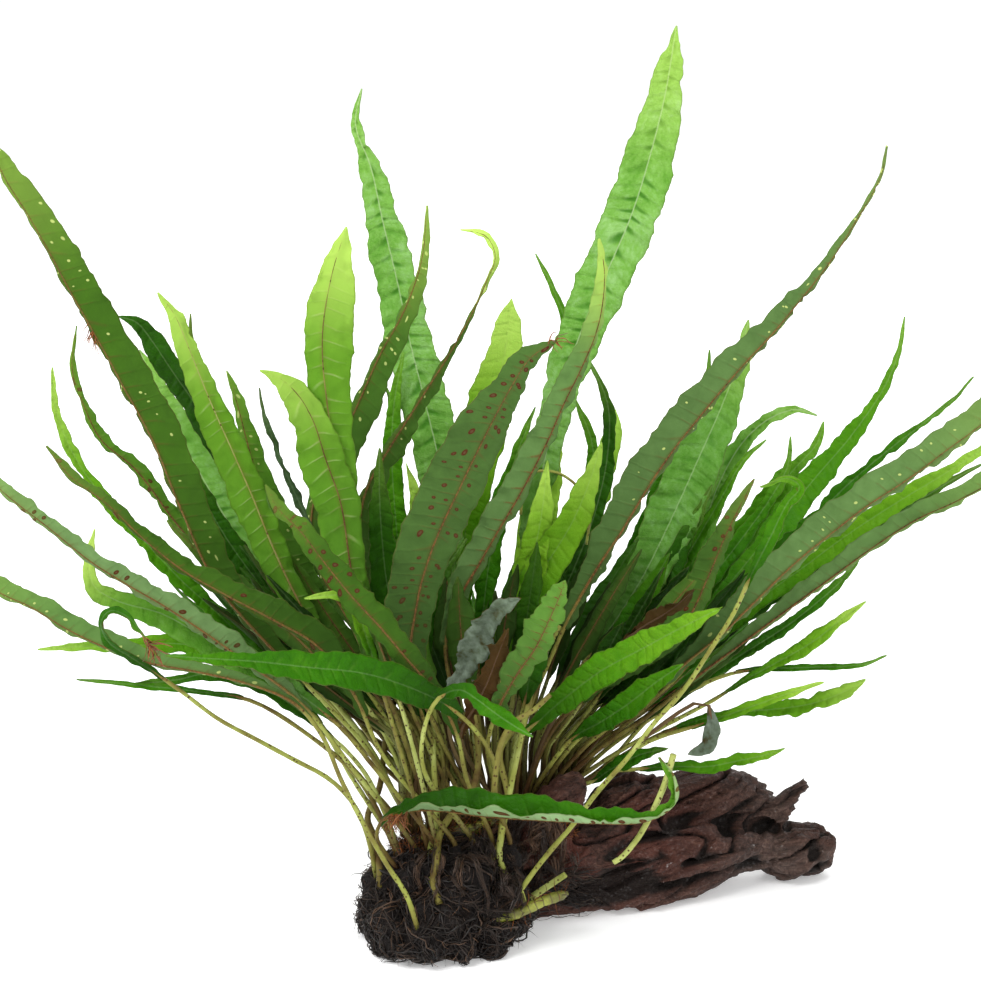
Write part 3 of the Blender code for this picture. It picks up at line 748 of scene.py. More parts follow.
def half_widths(leaf, share):
    """Half the blade's width along it: a curve through its drawn widths, or the formula."""
    if leaf.widths:
        steps = np.linspace(0, 100, len(leaf.widths))
        curve = smooth_line([(step, width, 0) for step, width in zip(steps, leaf.widths)])[0]
        return 0.5 * np.maximum(np.interp(share * 100, curve[:, 0], curve[:, 1]), 0.4)
    least = BLADE_FOOT_WIDTH * (1 - 0.6 * share)
    return 0.5 * (least + (leaf.width - least) * blade_width(share, leaf.drawn_out))


def wander(draw, places, wavelength):
    """A smooth random line from -1 to 1 with bends about this long."""
    total = 0
    for part in (1.0, 0.57, 0.31):
        total = total + np.sin(places * math.tau / (wavelength * part) + draw.uniform(0, 7)) * part
    return total / 1.5


def two_sided(draw, places, side, left, right):
    """A wandering line for each margin."""
    return np.where(side > 0, wander(draw, places, right), wander(draw, places, left))


def lift_of_blade(draw, leaf, reach, offset, edge, side, grown, jitter):
    """How far the blade stands out of its plane: bulges, crumples, rippled margins, the gutter."""
    count = (reach + np.abs(offset) * VEIN_SLANT) / VEIN_SPACING + side * SIDE_SHIFT + jitter
    between = np.abs(np.sin(math.pi * count)) ** 0.6
    strengths = np.array([0.12 + draw.random() ** 1.5 for _ in range(BULGES)])
    fullness = strengths[(np.floor(count) + side * 50).astype(int) % BULGES]
    lift = between * fullness * edge ** 0.6 * (1 - edge ** 4) * np.minimum(grown * 1.5, 1) * leaf.bulge
    crumple = wander(draw, reach + offset * 1.3, CRUMPLE_ALONG)
    crumple = crumple * wander(draw, offset - reach * 0.35, CRUMPLE_ACROSS)
    lift = lift + crumple * edge * leaf.bulge * CRUMPLE
    lift = lift + two_sided(draw, reach, side, *RIPPLE_WAVES) * edge ** 2.2 * leaf.ripple * grown
    return lift - GUTTER * np.exp(-(offset / GUTTER_REACH) ** 2) * grown


def shape_frond(name, line, leaf):
    """A copy of a blank, bent along its line and given its width, folds and margins."""
    draw = random.Random(name)
    length = line[1][-1]
    blade = length * (1 - leaf.bare)
    rings = int(min(max(math.ceil(blade / leaf.fine / 20) * 20, 20), 160))
    columns = 6 if leaf.fine > 2 else 14 if leaf.width >= 12 else 10 if leaf.width >= 7 else 8
    mesh = frond_blank(rings, columns).copy()
    blank = places_of(mesh)
    is_stalk = noted(mesh, "stalk") > 0.5
    u, v = (blank[:, 0] + 1) / 2, blank[:, 1] * -leaf.shows
    places = np.where(is_stalk, length * RIB_ENDS * u, length * leaf.bare + blade * u)
    reach = places - length * leaf.bare
    share = (places / length - leaf.bare) / (1 - leaf.bare)
    inside = np.clip(share, 0, 1)
    middles, runs = run_at(line, places)
    turns = leaf.turns[0] + (leaf.turns[1] - leaf.turns[0]) * inside
    turns = turns + wander(draw, places, TWIST_WAVE) * TWIST * inside
    across, face = towards_eye(middles, runs, turns, leaf.shows)

    half = half_widths(leaf, inside)
    grown = np.minimum(half * 2 / leaf.width, 1)
    rib_place = leaf.rib * half * np.clip(share * 5, 0, 1)
    waves = sum(two_sided(draw, reach, np.sign(v), left, right) * size
                for left, right, size in MARGIN_WAVES)
    margin = half + leaf.wavy * np.minimum(half / 2.5, 1) * waves
    margin = np.where(share > 0.999, TIP_HALF_WIDTH, margin)
    offset = v * margin - rib_place
    side = np.where(offset < 0, -1.0, 1.0)
    to_margin = np.maximum(margin - rib_place * side, 0.1)
    edge = np.clip(np.abs(offset) / to_margin, 0, 1)
    jitter = wander(draw, reach, 41) * 0.45
    lift = lift_of_blade(draw, leaf, reach, offset, edge, side, grown, jitter)
    thick = MARGIN_THICKNESS + (BLADE_THICKNESS - MARGIN_THICKNESS) * (1 - edge ** 2)
    lift = lift - (blank[:, 2] < -0.1) * thick
    fold = np.radians(np.where(side < 0, *leaf.folds)) * np.clip(share * 4, 0, 1)
    spread = offset * np.cos(fold) - lift * side * np.sin(fold)
    raise_by = np.abs(offset) * np.sin(fold) + lift * np.cos(fold)
    blade_places = middles + across * (rib_place + spread)[:, None] + face * raise_by[:, None]

    radius = np.where(share < 0, STALK_WIDTH / 2 * (1.12 - 0.22 * places / (length * leaf.bare)),
                      RIB_WIDTH / 2 * (1 - 0.72 * inside) + 0.35 * np.exp(-inside / 0.06))
    radius = radius * (1 + 0.08 * wander(draw, places, 7))
    sink = (GUTTER * grown + BLADE_THICKNESS * 0.6 + radius * 0.5) * np.clip(share * 12, 0, 1)
    stalk_places = (middles + across * (v * radius + rib_place)[:, None]
                    + face * (blank[:, 2] * radius - sink)[:, None])

    move_to(mesh, np.where(is_stalk[:, None], stalk_places, blade_places) * MM)
    notes = {
        "along": np.where(is_stalk & (share < 0), share * (1 - leaf.bare) / leaf.bare, inside),
        "across": np.where(is_stalk, 0, edge * side),
        "offset": np.where(is_stalk, 0, offset),
        "half": to_margin, "reach": reach, "jitter": jitter,
        "lime": LIMENESS[leaf.colour] if leaf.lime is None else leaf.lime,
        "tip": leaf.tip + max(LIMENESS[leaf.colour] - 0.5, 0),
        "tone": draw.uniform(-1, 1) if leaf.tone is None else leaf.tone,
        "wilt": 0.92 if leaf.colour == GREY else leaf.wilt,
    }
    for key in ("sheen", "pale", "spots", "outer", "flecks", "ripe", "shade", "foot"):
        notes[key] = getattr(leaf, key)
    for key, values in notes.items():
        note(mesh, key, values)
    return placed(name, mesh)


print("limeness of each colour word:", LIMENESS)

# %% [markdown]
# ## The creeping stems and where fronds leave them
#
# Four creeping stems carry the clump: one along the back, one over the crown of the log, one in
# front and a short one low on the right. A frond leaves its stem at right angles, on the side that
# its route lies on. Along a stem the fronds stand evenly, in the order of the table.

# %% Creeping stems
STEM_RADIUS = 2.4
GAP = 0.35
STEMS = {
    "back": [(-23, 8, 28), (-8, 14, 29.5), (8, 20.5, 29.5), (20, 27, 28), (29, 32, 27)],
    "crown": [(-31, -11, 29), (-15, -7, 31.5), (0, 0, 32.5), (13, 11, 33.5), (30, 20, 33)],
    "front": [(-33, -21, 25), (-19, -24, 27.5), (-4, -24, 27.5), (9, -19, 26)],
    "low": [(-2, -36, 12), (8, -34, 14), (17, -31, 17), (26, -28, 19)],
}


def foot_on(stem_name, share, towards):
    """Where a frond leaves a stem, at this share of its length, and its first direction."""
    line = smooth_line(STEMS[stem_name])
    foot, run = (Vector(row[0]) for row in run_at(line, np.array([line[1][-1] * share])))
    way = seen(*towards, foot.y) - foot
    way = (way - run * way.dot(run)).normalized()
    return foot + way * (STEM_RADIUS * 1.1 + GAP), way


def frond_from(stem_name, share, name, leaf):
    """A frond that leaves this stem here and follows its own route."""
    start, way = foot_on(stem_name, share, leaf.route[0])
    return shape_frond(name, frond_route(start, way, leaf.route, leaf.tip_back), leaf)


print("stems:", list(STEMS))

# %% [markdown]
# ## The fronds of the back stem
#
# The tables that follow are the clump itself, stem by stem and from left to right. Each frond has
# its width, the bare share of it, how far back its tip lies, the side that it shows, its colour and
# the route that was drawn for it on the sheet. After them come only the things in which it differs
# from a plain frond. The back stem has the two tallest blades, which show their upper side.

# %% Back stem
FRONDS = {}
FRONDS["back"] = {
    "thin_left": Leaf(6.5, 0.3, 20, UNDER, GREEN, [(-44, 56), (-66, 86), (-84, 106), (-95, 119),
        (-105, 131), (-118, 148), (-129, 157), (-134, 166), (-139, 180), (-138, 195)], wavy=0.7,
        rib=-0.4, lime=0.46, spots=0.2, outer=0, ripe=1,
        widths=(2, 3, 4, 5, 5.4, 5.4, 5, 4.6, 4, 3.4, 2.6, 1.8, 0.5)),
    "bumpy_left": Leaf(13, 0.28, 60, UPPER, GREEN, [(-41, 64), (-62, 92), (-76, 109), (-85, 125),
        (-93, 139), (-101, 153), (-108, 166), (-117, 187)], bulge=0.5, lime=0.55, sheen=0.75,
        widths=(3, 7, 10, 12.5, 14.5, 16, 16, 15.5, 14.5, 13, 11, 7, 0.5)),
    "dark_left": Leaf(9, 0.35, 38, UPPER, DARK, [(-36, 62), (-49, 84), (-61, 108), (-72, 126),
        (-82, 142), (-90, 155), (-98, 168), (-107, 181), (-113, 190), (-118, 196), (-124, 198)],
        turns=(0, 20), lime=0.04, bulge=0.8, ripple=0.6, tip=0, shade=0.15,
        widths=(3, 5, 7, 8.5, 9.5, 10, 10, 9.8, 9.4, 9, 8.8, 8.6, 6.5, 0.5)),
    "dotted_left": Leaf(10, 0.32, 22, UNDER, GREEN, [(-31, 64), (-45, 84), (-58, 104), (-68, 122),
        (-75, 140), (-80, 156), (-84, 170), (-88, 180)], spots=0.45, rib=-0.35, lime=0.48,
        widths=(3, 5, 8, 9.8, 10.4, 10.2, 9.6, 8.4, 7, 5.4, 3.8, 0.5)),
    "centre_thin": Leaf(7.5, 0.35, 28, UPPER, GREEN, [(-24, 70), (-29, 105), (-32, 135), (-33, 155),
        (-32, 170), (-29, 186)], drawn_out=0.3),
    "tall_left": Leaf(14, 0.3, 46, UPPER, GREEN, [(-17, 72), (-15, 100), (-15, 125), (-17, 148),
        (-22, 170), (-27, 190), (-31, 209), (-36, 230), (-40, 248), (-45, 262), (-43, 274)],
        turns=(0, 15), bulge=0.5, ripple=0.8, wavy=0.6, lime=0.5, sheen=0.8, tip=0.1,
        widths=(5, 8, 11, 13, 14.5, 16, 16.5, 16.5, 16.2, 15.6, 15, 14.2, 13, 11, 8.5, 5.5, 2.8, 0.5)),
    "lime_behind": Leaf(17, 0.35, 74, UPPER, LIME, [(-8, 76), (-9, 110), (-7, 140), (-1, 165), (4, 182),
        (7, 204)], bulge=0.35, ripple=0.6, tip=0.7, lime=1,
        widths=(3, 6, 9, 12, 14, 15, 16, 16.5, 16.5, 15.5, 13, 9, 0.5)),
    "lime_middle": Leaf(11, 0.35, 56, UPPER, LIME, [(3, 72), (9, 95), (14, 115), (17, 135), (20, 152),
        (23, 168)], lime=1,
        widths=(3, 6, 9, 11, 12.5, 13, 12.5, 11, 9, 6, 0.5)),
    "tall_right": Leaf(16.5, 0.3, 50, UPPER, GREEN, [(7, 76), (11, 110), (17, 145), (24, 175),
        (31, 195), (38, 211), (47, 232), (53, 251), (58, 271), (62, 295)], bulge=0.5, ripple=0.9,
        wavy=0.55, folds=(5, 5), lime=0.6, sheen=0.85, tip=0.45,
        widths=(5, 8, 9.5, 10.5, 11.5, 14, 16, 17.5, 18, 18.5, 17, 13.5, 9, 0.5)),
    "grey_middle": Leaf(8, 0.35, 66, UPPER, GREEN, [(12, 75), (19, 97), (26, 117), (33, 138), (34, 155),
        (28, 171)], drawn_out=0.5),
    "lime_leaning": Leaf(10, 0.35, 92, UPPER, LIME, [(15, 70), (21, 95), (27, 118), (34, 137),
        (39, 152), (41, 163), (38, 173)], lime=1, tip=0.3,
        widths=(3, 6, 9, 11, 12, 11.5, 10.5, 9, 7, 4.5, 0.5)),
    "quilted_right": Leaf(19, 0.28, 72, UPPER, GREEN, [(22, 70), (37, 90), (50, 110), (60, 130),
        (69, 150), (77, 168), (83, 184), (86, 197)], drawn_out=0.3, bulge=1.1, ripple=0.9, lime=0.3,
        sheen=0.45, tip=0.3),
    "arched_right": Leaf(8, 0.35, 88, UPPER, GREEN, [(30, 68), (48, 86), (62, 106), (70, 125),
        (76, 142), (84, 156), (93, 164), (102, 167), (109, 165)], turns=(0, 10), lime=0.66, sheen=0.72,
        widths=(2.5, 4, 6, 8, 9, 9.2, 8.6, 7.4, 6, 4.4, 3, 0.5)),
    "dark_tip_right": Leaf(8.5, 0.35, 40, UPPER, GREEN, [(34, 62), (50, 80), (63, 97), (75, 113),
        (85, 127), (94, 139), (102, 148), (109, 156), (111, 163)], drawn_out=0.1, lime=0.4, wavy=0.6),
    "wide_right": Leaf(12, 0.3, 95, UPPER, GREEN, [(36, 64), (58, 84), (78, 107), (95, 128), (108, 144),
        (120, 158), (131, 174), (136, 186), (138, 198)], turns=(0, 15), lime=0.44,
        widths=(3, 5.5, 8.5, 11, 12.5, 13, 12, 10.4, 8.4, 6.2, 4.4, 3, 2.2, 0.5)),
    "thin_right": Leaf(5.5, 0.3, 26, UPPER, DARK, [(38, 60), (56, 80), (73, 97), (88, 112), (103, 126),
        (118, 141), (132, 153), (145, 163), (156, 172), (161, 178)], drawn_out=0.9, lime=0.32,
        wavy=0.9),
    "hooked_right": Leaf(6, 0.35, 62, UPPER, DARK, [(39, 54), (58, 67), (74, 79), (88, 88), (99, 95),
        (108, 102), (117, 110), (124, 119)], lime=0.22, wavy=0.5,
        widths=(1.5, 2.5, 3.4, 4, 4.2, 4, 3.6, 3, 0.5)),
    "lime_flat_right": Leaf(6, 0.36, 24, UPPER, LIME, [(40, 49), (55, 58), (68, 63), (80, 66), (93, 67),
        (107, 69), (118, 73), (125, 77)], lime=0.72, wavy=0.6,
        widths=(1.6, 2.2, 2.6, 3, 3.8, 4.8, 5.6, 5.8, 5.4, 4.4, 0.5)),
}
print("back stem:", len(FRONDS["back"]), "fronds")

# %% [markdown]
# ## The fronds of the crown
#
# The middle of the clump. Most of these lean to the front and show their under side with its spore
# spots. Many are folded along the rib, so that the rib shows near one margin.

# %% Crown
FRONDS["crown"] = {
    "lime_far_left": Leaf(6, 0.3, -8, UPPER, LIME, [(-48, 50), (-70, 78), (-91, 99), (-103, 110),
        (-119, 127), (-131, 140), (-140, 154), (-145, 168), (-146, 181)], wavy=0.6, lime=0.66,
        widths=(2, 3.5, 5, 5.6, 5.6, 5, 4.5, 4, 3.5, 2.8, 0.5)),
    "long_left": Leaf(14, 0.24, -46, UNDER, DARK, [(-42, 55), (-60, 74), (-77, 94), (-90, 114),
        (-99, 135), (-108, 158), (-120, 180), (-136, 208), (-149, 230), (-160, 246), (-168, 258)],
        turns=(0, 12), spots=0.42, bulge=0.3, rib=-0.86, folds=(72, 4), lime=0.18, pale=0, tip=0.25,
        outer=0.8,
        widths=(3.5, 5, 6.5, 8, 9, 9.6, 10.2, 10.6, 10.8, 10.8, 10.5, 10, 9.5, 8.8, 7.6, 6, 0.5)),
    "lime_left": Leaf(13, 0.26, -14, UNDER, LIME, [(-36, 60), (-49, 78), (-63, 100), (-73, 120),
        (-80, 137), (-86, 151), (-94, 169), (-101, 187), (-106, 199), (-111, 206)], rib=0.15,
        folds=(5, 25), lime=0.72, tip=0.35,
        widths=(3, 5, 7, 8.5, 10, 11, 12, 12.5, 12, 11, 9.5, 7.5, 5.5, 0.5)),
    "lime_folded": Leaf(13, 0.3, -42, UNDER, LIME, [(-32, 66), (-41, 88), (-47, 112), (-51, 135),
        (-56, 150), (-60, 163), (-66, 173), (-72, 178), (-77, 180)], bulge=0.8, folds=(5, 12), rib=0.15,
        lime=0.72, tip=0.2,
        widths=(3, 4.5, 6, 8, 10, 12, 14, 15, 15, 13.5, 11, 7, 0.5)),
    "yellow_dotted": Leaf(11.5, 0.3, -16, UNDER, DARK, [(-30, 68), (-44, 92), (-55, 115), (-57, 130),
        (-52, 147), (-43, 165), (-35, 184), (-27, 200), (-22, 217), (-21, 235)], drawn_out=0.8,
        spots=0.5, outer=0.2, bulge=0.35, lime=0.22, rib=-0.55, folds=(45, 4), tip=0.35),
    "curled_tip": Leaf(7.5, 0.35, 16, UNDER, DARK, [(-26, 70), (-36, 95), (-42, 118), (-40, 138),
        (-33, 152), (-24, 167), (-14, 184), (-6, 199), (-1, 210), (2, 218), (-1, 225), (-10, 227)],
        turns=(0, 30), spots=0.15, lime=0.2, rib=-0.6, folds=(40, 4), tip=1, wavy=0.7,
        widths=(2, 4, 6, 7, 7, 6.5, 5.6, 4.6, 3.4, 2.4, 1.6, 1.3, 2, 2.4, 0.5)),
    "lime_upright": Leaf(17.5, 0.28, -48, UNDER, LIME, [(-26, 66), (-37, 92), (-44, 112), (-47, 130),
        (-50, 150), (-53, 170), (-54, 190), (-52, 208), (-48, 228)], lime=0.8, bulge=0.9, ripple=0.5,
        folds=(4, 4), rib=-0.25, tip=0.5, wavy=0.35,
        widths=(2, 3, 4, 5, 6, 7, 8.5, 10, 11.5, 13, 15, 15.5, 13.5, 8.5, 0.5)),
    "centre_dark": Leaf(11, 0.3, -20, UPPER, DARK, [(-21, 60), (-29, 88), (-34, 106), (-36, 122),
        (-37, 138), (-37, 154)]),
    "dark_centre": Leaf(20.5, 0.26, -74, UNDER, DARK, [(-17, 58), (-27, 84), (-26, 104), (-21, 122),
        (-12, 142), (-3, 160), (6, 175), (13, 185), (22, 190)], turns=(0, 10), spots=0.75, ripe=1,
        bulge=0.4, folds=(6, 22), rib=0.2, lime=0.04, pale=0.1, tip=0,
        widths=(6, 11, 14, 16.5, 18, 19, 19.5, 19.5, 19, 17.5, 14, 9, 7, 0.5)),
    "dead_grey": Leaf(7, 0.4, -44, UPPER, GREY, [(-13, 56), (-13, 72), (-8, 82), (-4, 90), (1, 99),
        (10, 104)], bulge=0.9, ripple=1.2, wavy=0.8,
        widths=(2, 3, 4.5, 7, 9, 9.4, 8, 5, 0.5)),
    "tall_folded": Leaf(11, 0.3, -18, UNDER, DARK, [(-10, 64), (-15, 88), (-11, 105), (-2, 123),
        (8, 140), (17, 157), (23, 170), (29, 182), (35, 197), (37, 213), (36, 224)], turns=(0, 8),
        folds=(4, 45), rib=0.45, lime=0.36, pale=0.32, tip=0.7, flecks=0.7,
        widths=(3, 6, 8.5, 9.5, 9.8, 9.6, 9, 8.2, 7.5, 7, 5.5, 4, 0.5)),
    "pale_front": Leaf(11, 0.35, -80, UNDER, GREEN, [(-1, 54), (3, 69), (8, 79), (14, 88), (19, 98),
        (25, 110)], lime=0.5, rib=0.2, wavy=0.7, pale=0.16, tip=0, flecks=1,
        widths=(3, 5, 6.5, 8, 9.2, 10, 10.4, 10.2, 9.4, 8, 5.5, 0.5)),
    "wide_low": Leaf(10, 0.26, -72, UPPER, GREEN, [(9, 56), (17, 64), (25, 71), (37, 80), (50, 87),
        (63, 94), (77, 101)], lime=0.62, tip=0,
        widths=(2.5, 6, 8.6, 9.8, 10.4, 10.6, 10.2, 9, 7, 4.4, 0.5)),
    "long_right": Leaf(13, 0.26, -44, UNDER, DARK, [(12, 64), (20, 84), (29, 104), (40, 127), (52, 148),
        (65, 165), (79, 181), (96, 198), (111, 215), (122, 231), (130, 245), (132, 255)],
        turns=(-10, -20), spots=0.35, bulge=0.4, rib=0.8, folds=(4, 60), lime=0.1, pale=0.22, tip=0.1,
        wavy=0.7,
        widths=(3, 6, 8, 9.8, 10.8, 11, 10.6, 9.8, 8.4, 6.8, 4.8, 3, 1.7, 1, 0.5)),
    "dark_right": Leaf(10, 0.32, -30, UNDER, DARK, [(22, 62), (40, 77), (54, 87), (64, 98), (71, 112),
        (77, 125), (83, 136), (88, 144)], drawn_out=0.5, lime=0.08, rib=0.4, spots=0.2, ripe=1),
    "second_low": Leaf(9, 0.35, -34, UPPER, GREEN, [(27, 57), (37, 63), (46, 69), (55, 76), (64, 82)],
        drawn_out=0.3, lime=0.42, tip=0),
    "broad_far_right": Leaf(11.5, 0.28, -42, UNDER, DARK, [(30, 58), (52, 72), (70, 88), (85, 104),
        (98, 117), (111, 128), (124, 138), (138, 147), (152, 157), (164, 166), (173, 174)],
        turns=(-10, -12), spots=0.4, rib=0.7, folds=(4, 60), lime=0.16, pale=0.28, wavy=0.6,
        widths=(3, 5, 7, 8.5, 9.5, 10, 10.2, 10.2, 10, 9.5, 9, 8.5, 8)),
    "lime_far_right": Leaf(8, 0.3, -4, UPPER, LIME, [(33, 56), (56, 72), (74, 90), (90, 104),
        (105, 115), (120, 126), (137, 137), (152, 146), (164, 154), (172, 162)], drawn_out=0.3,
        lime=0.72),
    "edge_right": Leaf(6.5, 0.3, -22, UNDER, GREEN, [(34, 52), (54, 66), (72, 81), (88, 94), (101, 104),
        (113, 113), (128, 124), (141, 132), (154, 138), (165, 144), (171, 150)], rib=0.7, folds=(4, 40),
        pale=0.35, lime=0.35,
        widths=(2, 3, 4, 5, 5.6, 6, 6, 5.8, 5.4, 5)),
    "lime_low_right": Leaf(6.5, 0.52, 2, UPPER, LIME, [(38, 50), (57, 61), (74, 70), (85, 77), (96, 83),
        (108, 90), (118, 98), (125, 103)], lime=0.8,
        widths=(1.4, 1.8, 2.4, 3.4, 4.6, 5.2, 5, 4, 2.6, 0.5)),
    "over_wood": Leaf(5, 0.35, 4, UPPER, GREEN, [(37, 46), (47, 47), (61, 48), (72, 48), (83, 50),
        (92, 52), (98, 54)], lime=0.62, wavy=0.6,
        widths=(1.6, 2.6, 3.6, 4.4, 4.4, 3.8, 2.8, 0.5)),
}
print("crown:", len(FRONDS["crown"]), "fronds")

# %% [markdown]
# ## The fronds in front
#
# Those that reach out to the left and the front lie low over the stalks, and one on the right has
# a stalk that is longer than its blade. Three more start on the mat, in front of it or at its
# side, so they have a first point of their own in space and a bow towards the front.

# %% Front, low stem and mat
FRONDS["front"] = {
    "lime_flat_left": Leaf(7, 0.35, -30, UPPER, LIME, [(-46, 44), (-58, 64), (-72, 78), (-88, 86),
        (-106, 89), (-122, 88), (-138, 88), (-151, 87)], drawn_out=0.6, lime=0.6, tip=0.1),
    "dotted_far_left": Leaf(8, 0.32, -76, UNDER, GREEN, [(-45, 46), (-62, 68), (-80, 84), (-92, 93),
        (-106, 102), (-120, 110), (-133, 118), (-147, 129), (-160, 139), (-171, 149)], spots=0.45,
        outer=0, ripe=1, rib=-0.6, folds=(40, 4), lime=0.25, pale=0.45, wavy=0.6,
        widths=(2.5, 4, 5.5, 6.6, 7, 6.6, 6, 5.5, 5, 4.6, 4.3, 4, 3.7, 3)),
    "lime_curled_left": Leaf(11, 0.35, -54, UPPER, LIME, [(-39, 48), (-51, 62), (-68, 75), (-85, 85),
        (-97, 92), (-110, 99), (-124, 103), (-132, 108), (-134, 116), (-132, 127)], turns=(0, 30),
        drawn_out=0.5, lime=0.66, sheen=0.3, tip=0.8),
    "dark_long_left": Leaf(11, 0.3, -48, UNDER, DARK, [(-36, 52), (-46, 74), (-56, 90), (-71, 99),
        (-87, 107), (-102, 115), (-115, 125), (-128, 137), (-139, 145), (-148, 155)], rib=-0.6,
        folds=(40, 5), pale=0, lime=0.04, spots=0.15, ripe=1, wavy=0.6,
        widths=(3, 5, 7, 8.4, 8.6, 8, 7, 6, 5, 4.2, 3.5, 3, 2.8, 0.5)),
    "short_front": Leaf(7.5, 0.66, -70, UPPER, GREEN, [(-22, 46), (-22, 61), (-17, 71), (-10, 73.5),
        (-4, 70), (2, 65.5), (8, 61.5), (14, 58)], lime=0.3, tip=0, wavy=0.8,
        widths=(2, 4, 5, 5.4, 5.4, 4.8, 3.4, 0.5)),
    "diagonal_under": Leaf(11, 0.3, -70, UNDER, GREEN, [(-8, 44), (-11, 58), (-18, 73), (-27, 84),
        (-36, 95), (-47, 107), (-56, 118), (-63, 127), (-71, 135), (-75, 142)], lime=0.16, spots=0.3,
        ripe=1, rib=-0.2, wavy=0.6, pale=0,
        widths=(3, 4.5, 6, 7.5, 8.5, 9, 9, 8.5, 7.5, 6, 4.5, 0.5)),
    "broad_flat_front": Leaf(13, 0.36, -92, UPPER, GREEN, [(2, 36), (1, 50), (-5, 60), (-14, 68),
        (-26, 74), (-42, 79), (-60, 81), (-78, 83), (-94, 84), (-108, 85)], turns=(0, -25), bulge=0.35,
        ripple=0.9, lime=0.34, tip=0,
        widths=(4, 7, 9.5, 11, 11.6, 11.6, 10.8, 9.4, 7.4, 5.4, 4, 3, 0.5)),
}
FRONDS["low"] = {
    "long_stalk_right": Leaf(5, 0.72, -58, UPPER, GREEN, [(13, 11), (20, 20), (27, 28), (36, 40),
        (45, 50), (55, 63), (64, 73), (74, 88), (81, 99), (87, 112), (93, 124), (99, 136), (103, 141),
        (99, 144), (90, 141)], turns=(0, 40), drawn_out=0.5, lime=0.55, foot=0, tone=0.3),
}
# For each of these: its first point in space, its bow, and how it is drawn
FRONT_STARTS = {
    "edge_left": ((-24, -7, -44), -6, Leaf(8, 0.42, -60, UNDER, GREEN, [(-28, 5), (-35, 16), (-44, 32),
        (-50, 44), (-56, 58), (-65, 69), (-79, 76), (-97, 81), (-115, 85), (-130, 91), (-142, 97),
        (-152, 103), (-163, 108), (-173, 115)], spots=0.35, outer=0, rib=-0.75, folds=(45, 4), lime=0.3,
        pale=0.25, foot=0, tone=0.1,
        widths=(1.5, 2, 2.6, 3.2, 4, 4.8, 5.6, 6, 6, 5.8, 5.6, 5.4, 5))),
    "ring_left": ((-38, 11, -20), -4, Leaf(6, 0.66, -82, UPPER, GREEN, [(-41, 25), (-46, 36), (-54, 44),
        (-65, 50), (-78, 57), (-91, 64), (-103, 73), (-113, 80), (-121, 85), (-127, 89), (-130, 95),
        (-127, 100), (-121, 98), (-115, 91), (-111, 85)], turns=(30, 75), foot=0, tone=0.1, lime=0.2,
        widths=(1.5, 2.4, 3.2, 3.4, 3.2, 2.6, 1.8, 0.5))),
    "front_curled": ((-31, 14, -25), -14, Leaf(12, 0.16, -44, UPPER, GREEN, [(-35, 19), (-38, 25),
        (-35, 31), (-27, 34), (-16, 34.5), (-4, 33), (8, 32), (22, 31), (37, 30), (50, 30), (58, 33),
        (62, 38), (61, 44), (56, 51)], turns=(64, 58), folds=(64, 52), rib=0.25, spots=1, outer=0,
        ripe=1, ripple=1.4, wavy=0.9, lime=0.34, pale=1, tip=0.1,
        widths=(3, 6, 9, 11, 12, 12.5, 12.3, 11.5, 10, 8.6, 7.2, 6, 4.5, 3.5, 3, 0.5))),
}
print("in front:", len(FRONDS["front"]) + len(FRONDS["low"]) + len(FRONT_STARTS), "fronds")

# %% Growing them
fronds, leaves = {}, {}
for stem_name, members in FRONDS.items():
    for i, (name, leaf) in enumerate(members.items()):
        leaves[name] = leaf
        fronds[name] = frond_from(stem_name, (i + 0.5) / len(members), "fern_" + name, leaf)
for name, (place, bow, leaf) in FRONT_STARTS.items():
    leaves[name] = leaf
    line = frond_route(seen(*place), None, leaf.route, leaf.tip_back, bow)
    fronds[name] = shape_frond("fern_" + name, line, leaf)
for name, piece in fronds.items():
    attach(piece, "root")
    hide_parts("frond_" + name)
print(len(fronds), "fronds, faces:", sum(len(piece.data.polygons) for piece in fronds.values()))

# %% [markdown]
# ## The driftwood
#
# Driftwood is what is left of a root or branch when the soft wood has gone: furrows along the
# grain, ledges, pits, splintered ends. The five solids of the model give its mass. Their copies
# are joined and remeshed into one skin, as a modeller would merge blocked-out shapes, and the
# skin is then worn away by noise that is stretched along the grain. Operators have no grain, so
# the wear is worked out for each vertex.

# %% Wood finish
GRAIN_TURN = math.radians(20)


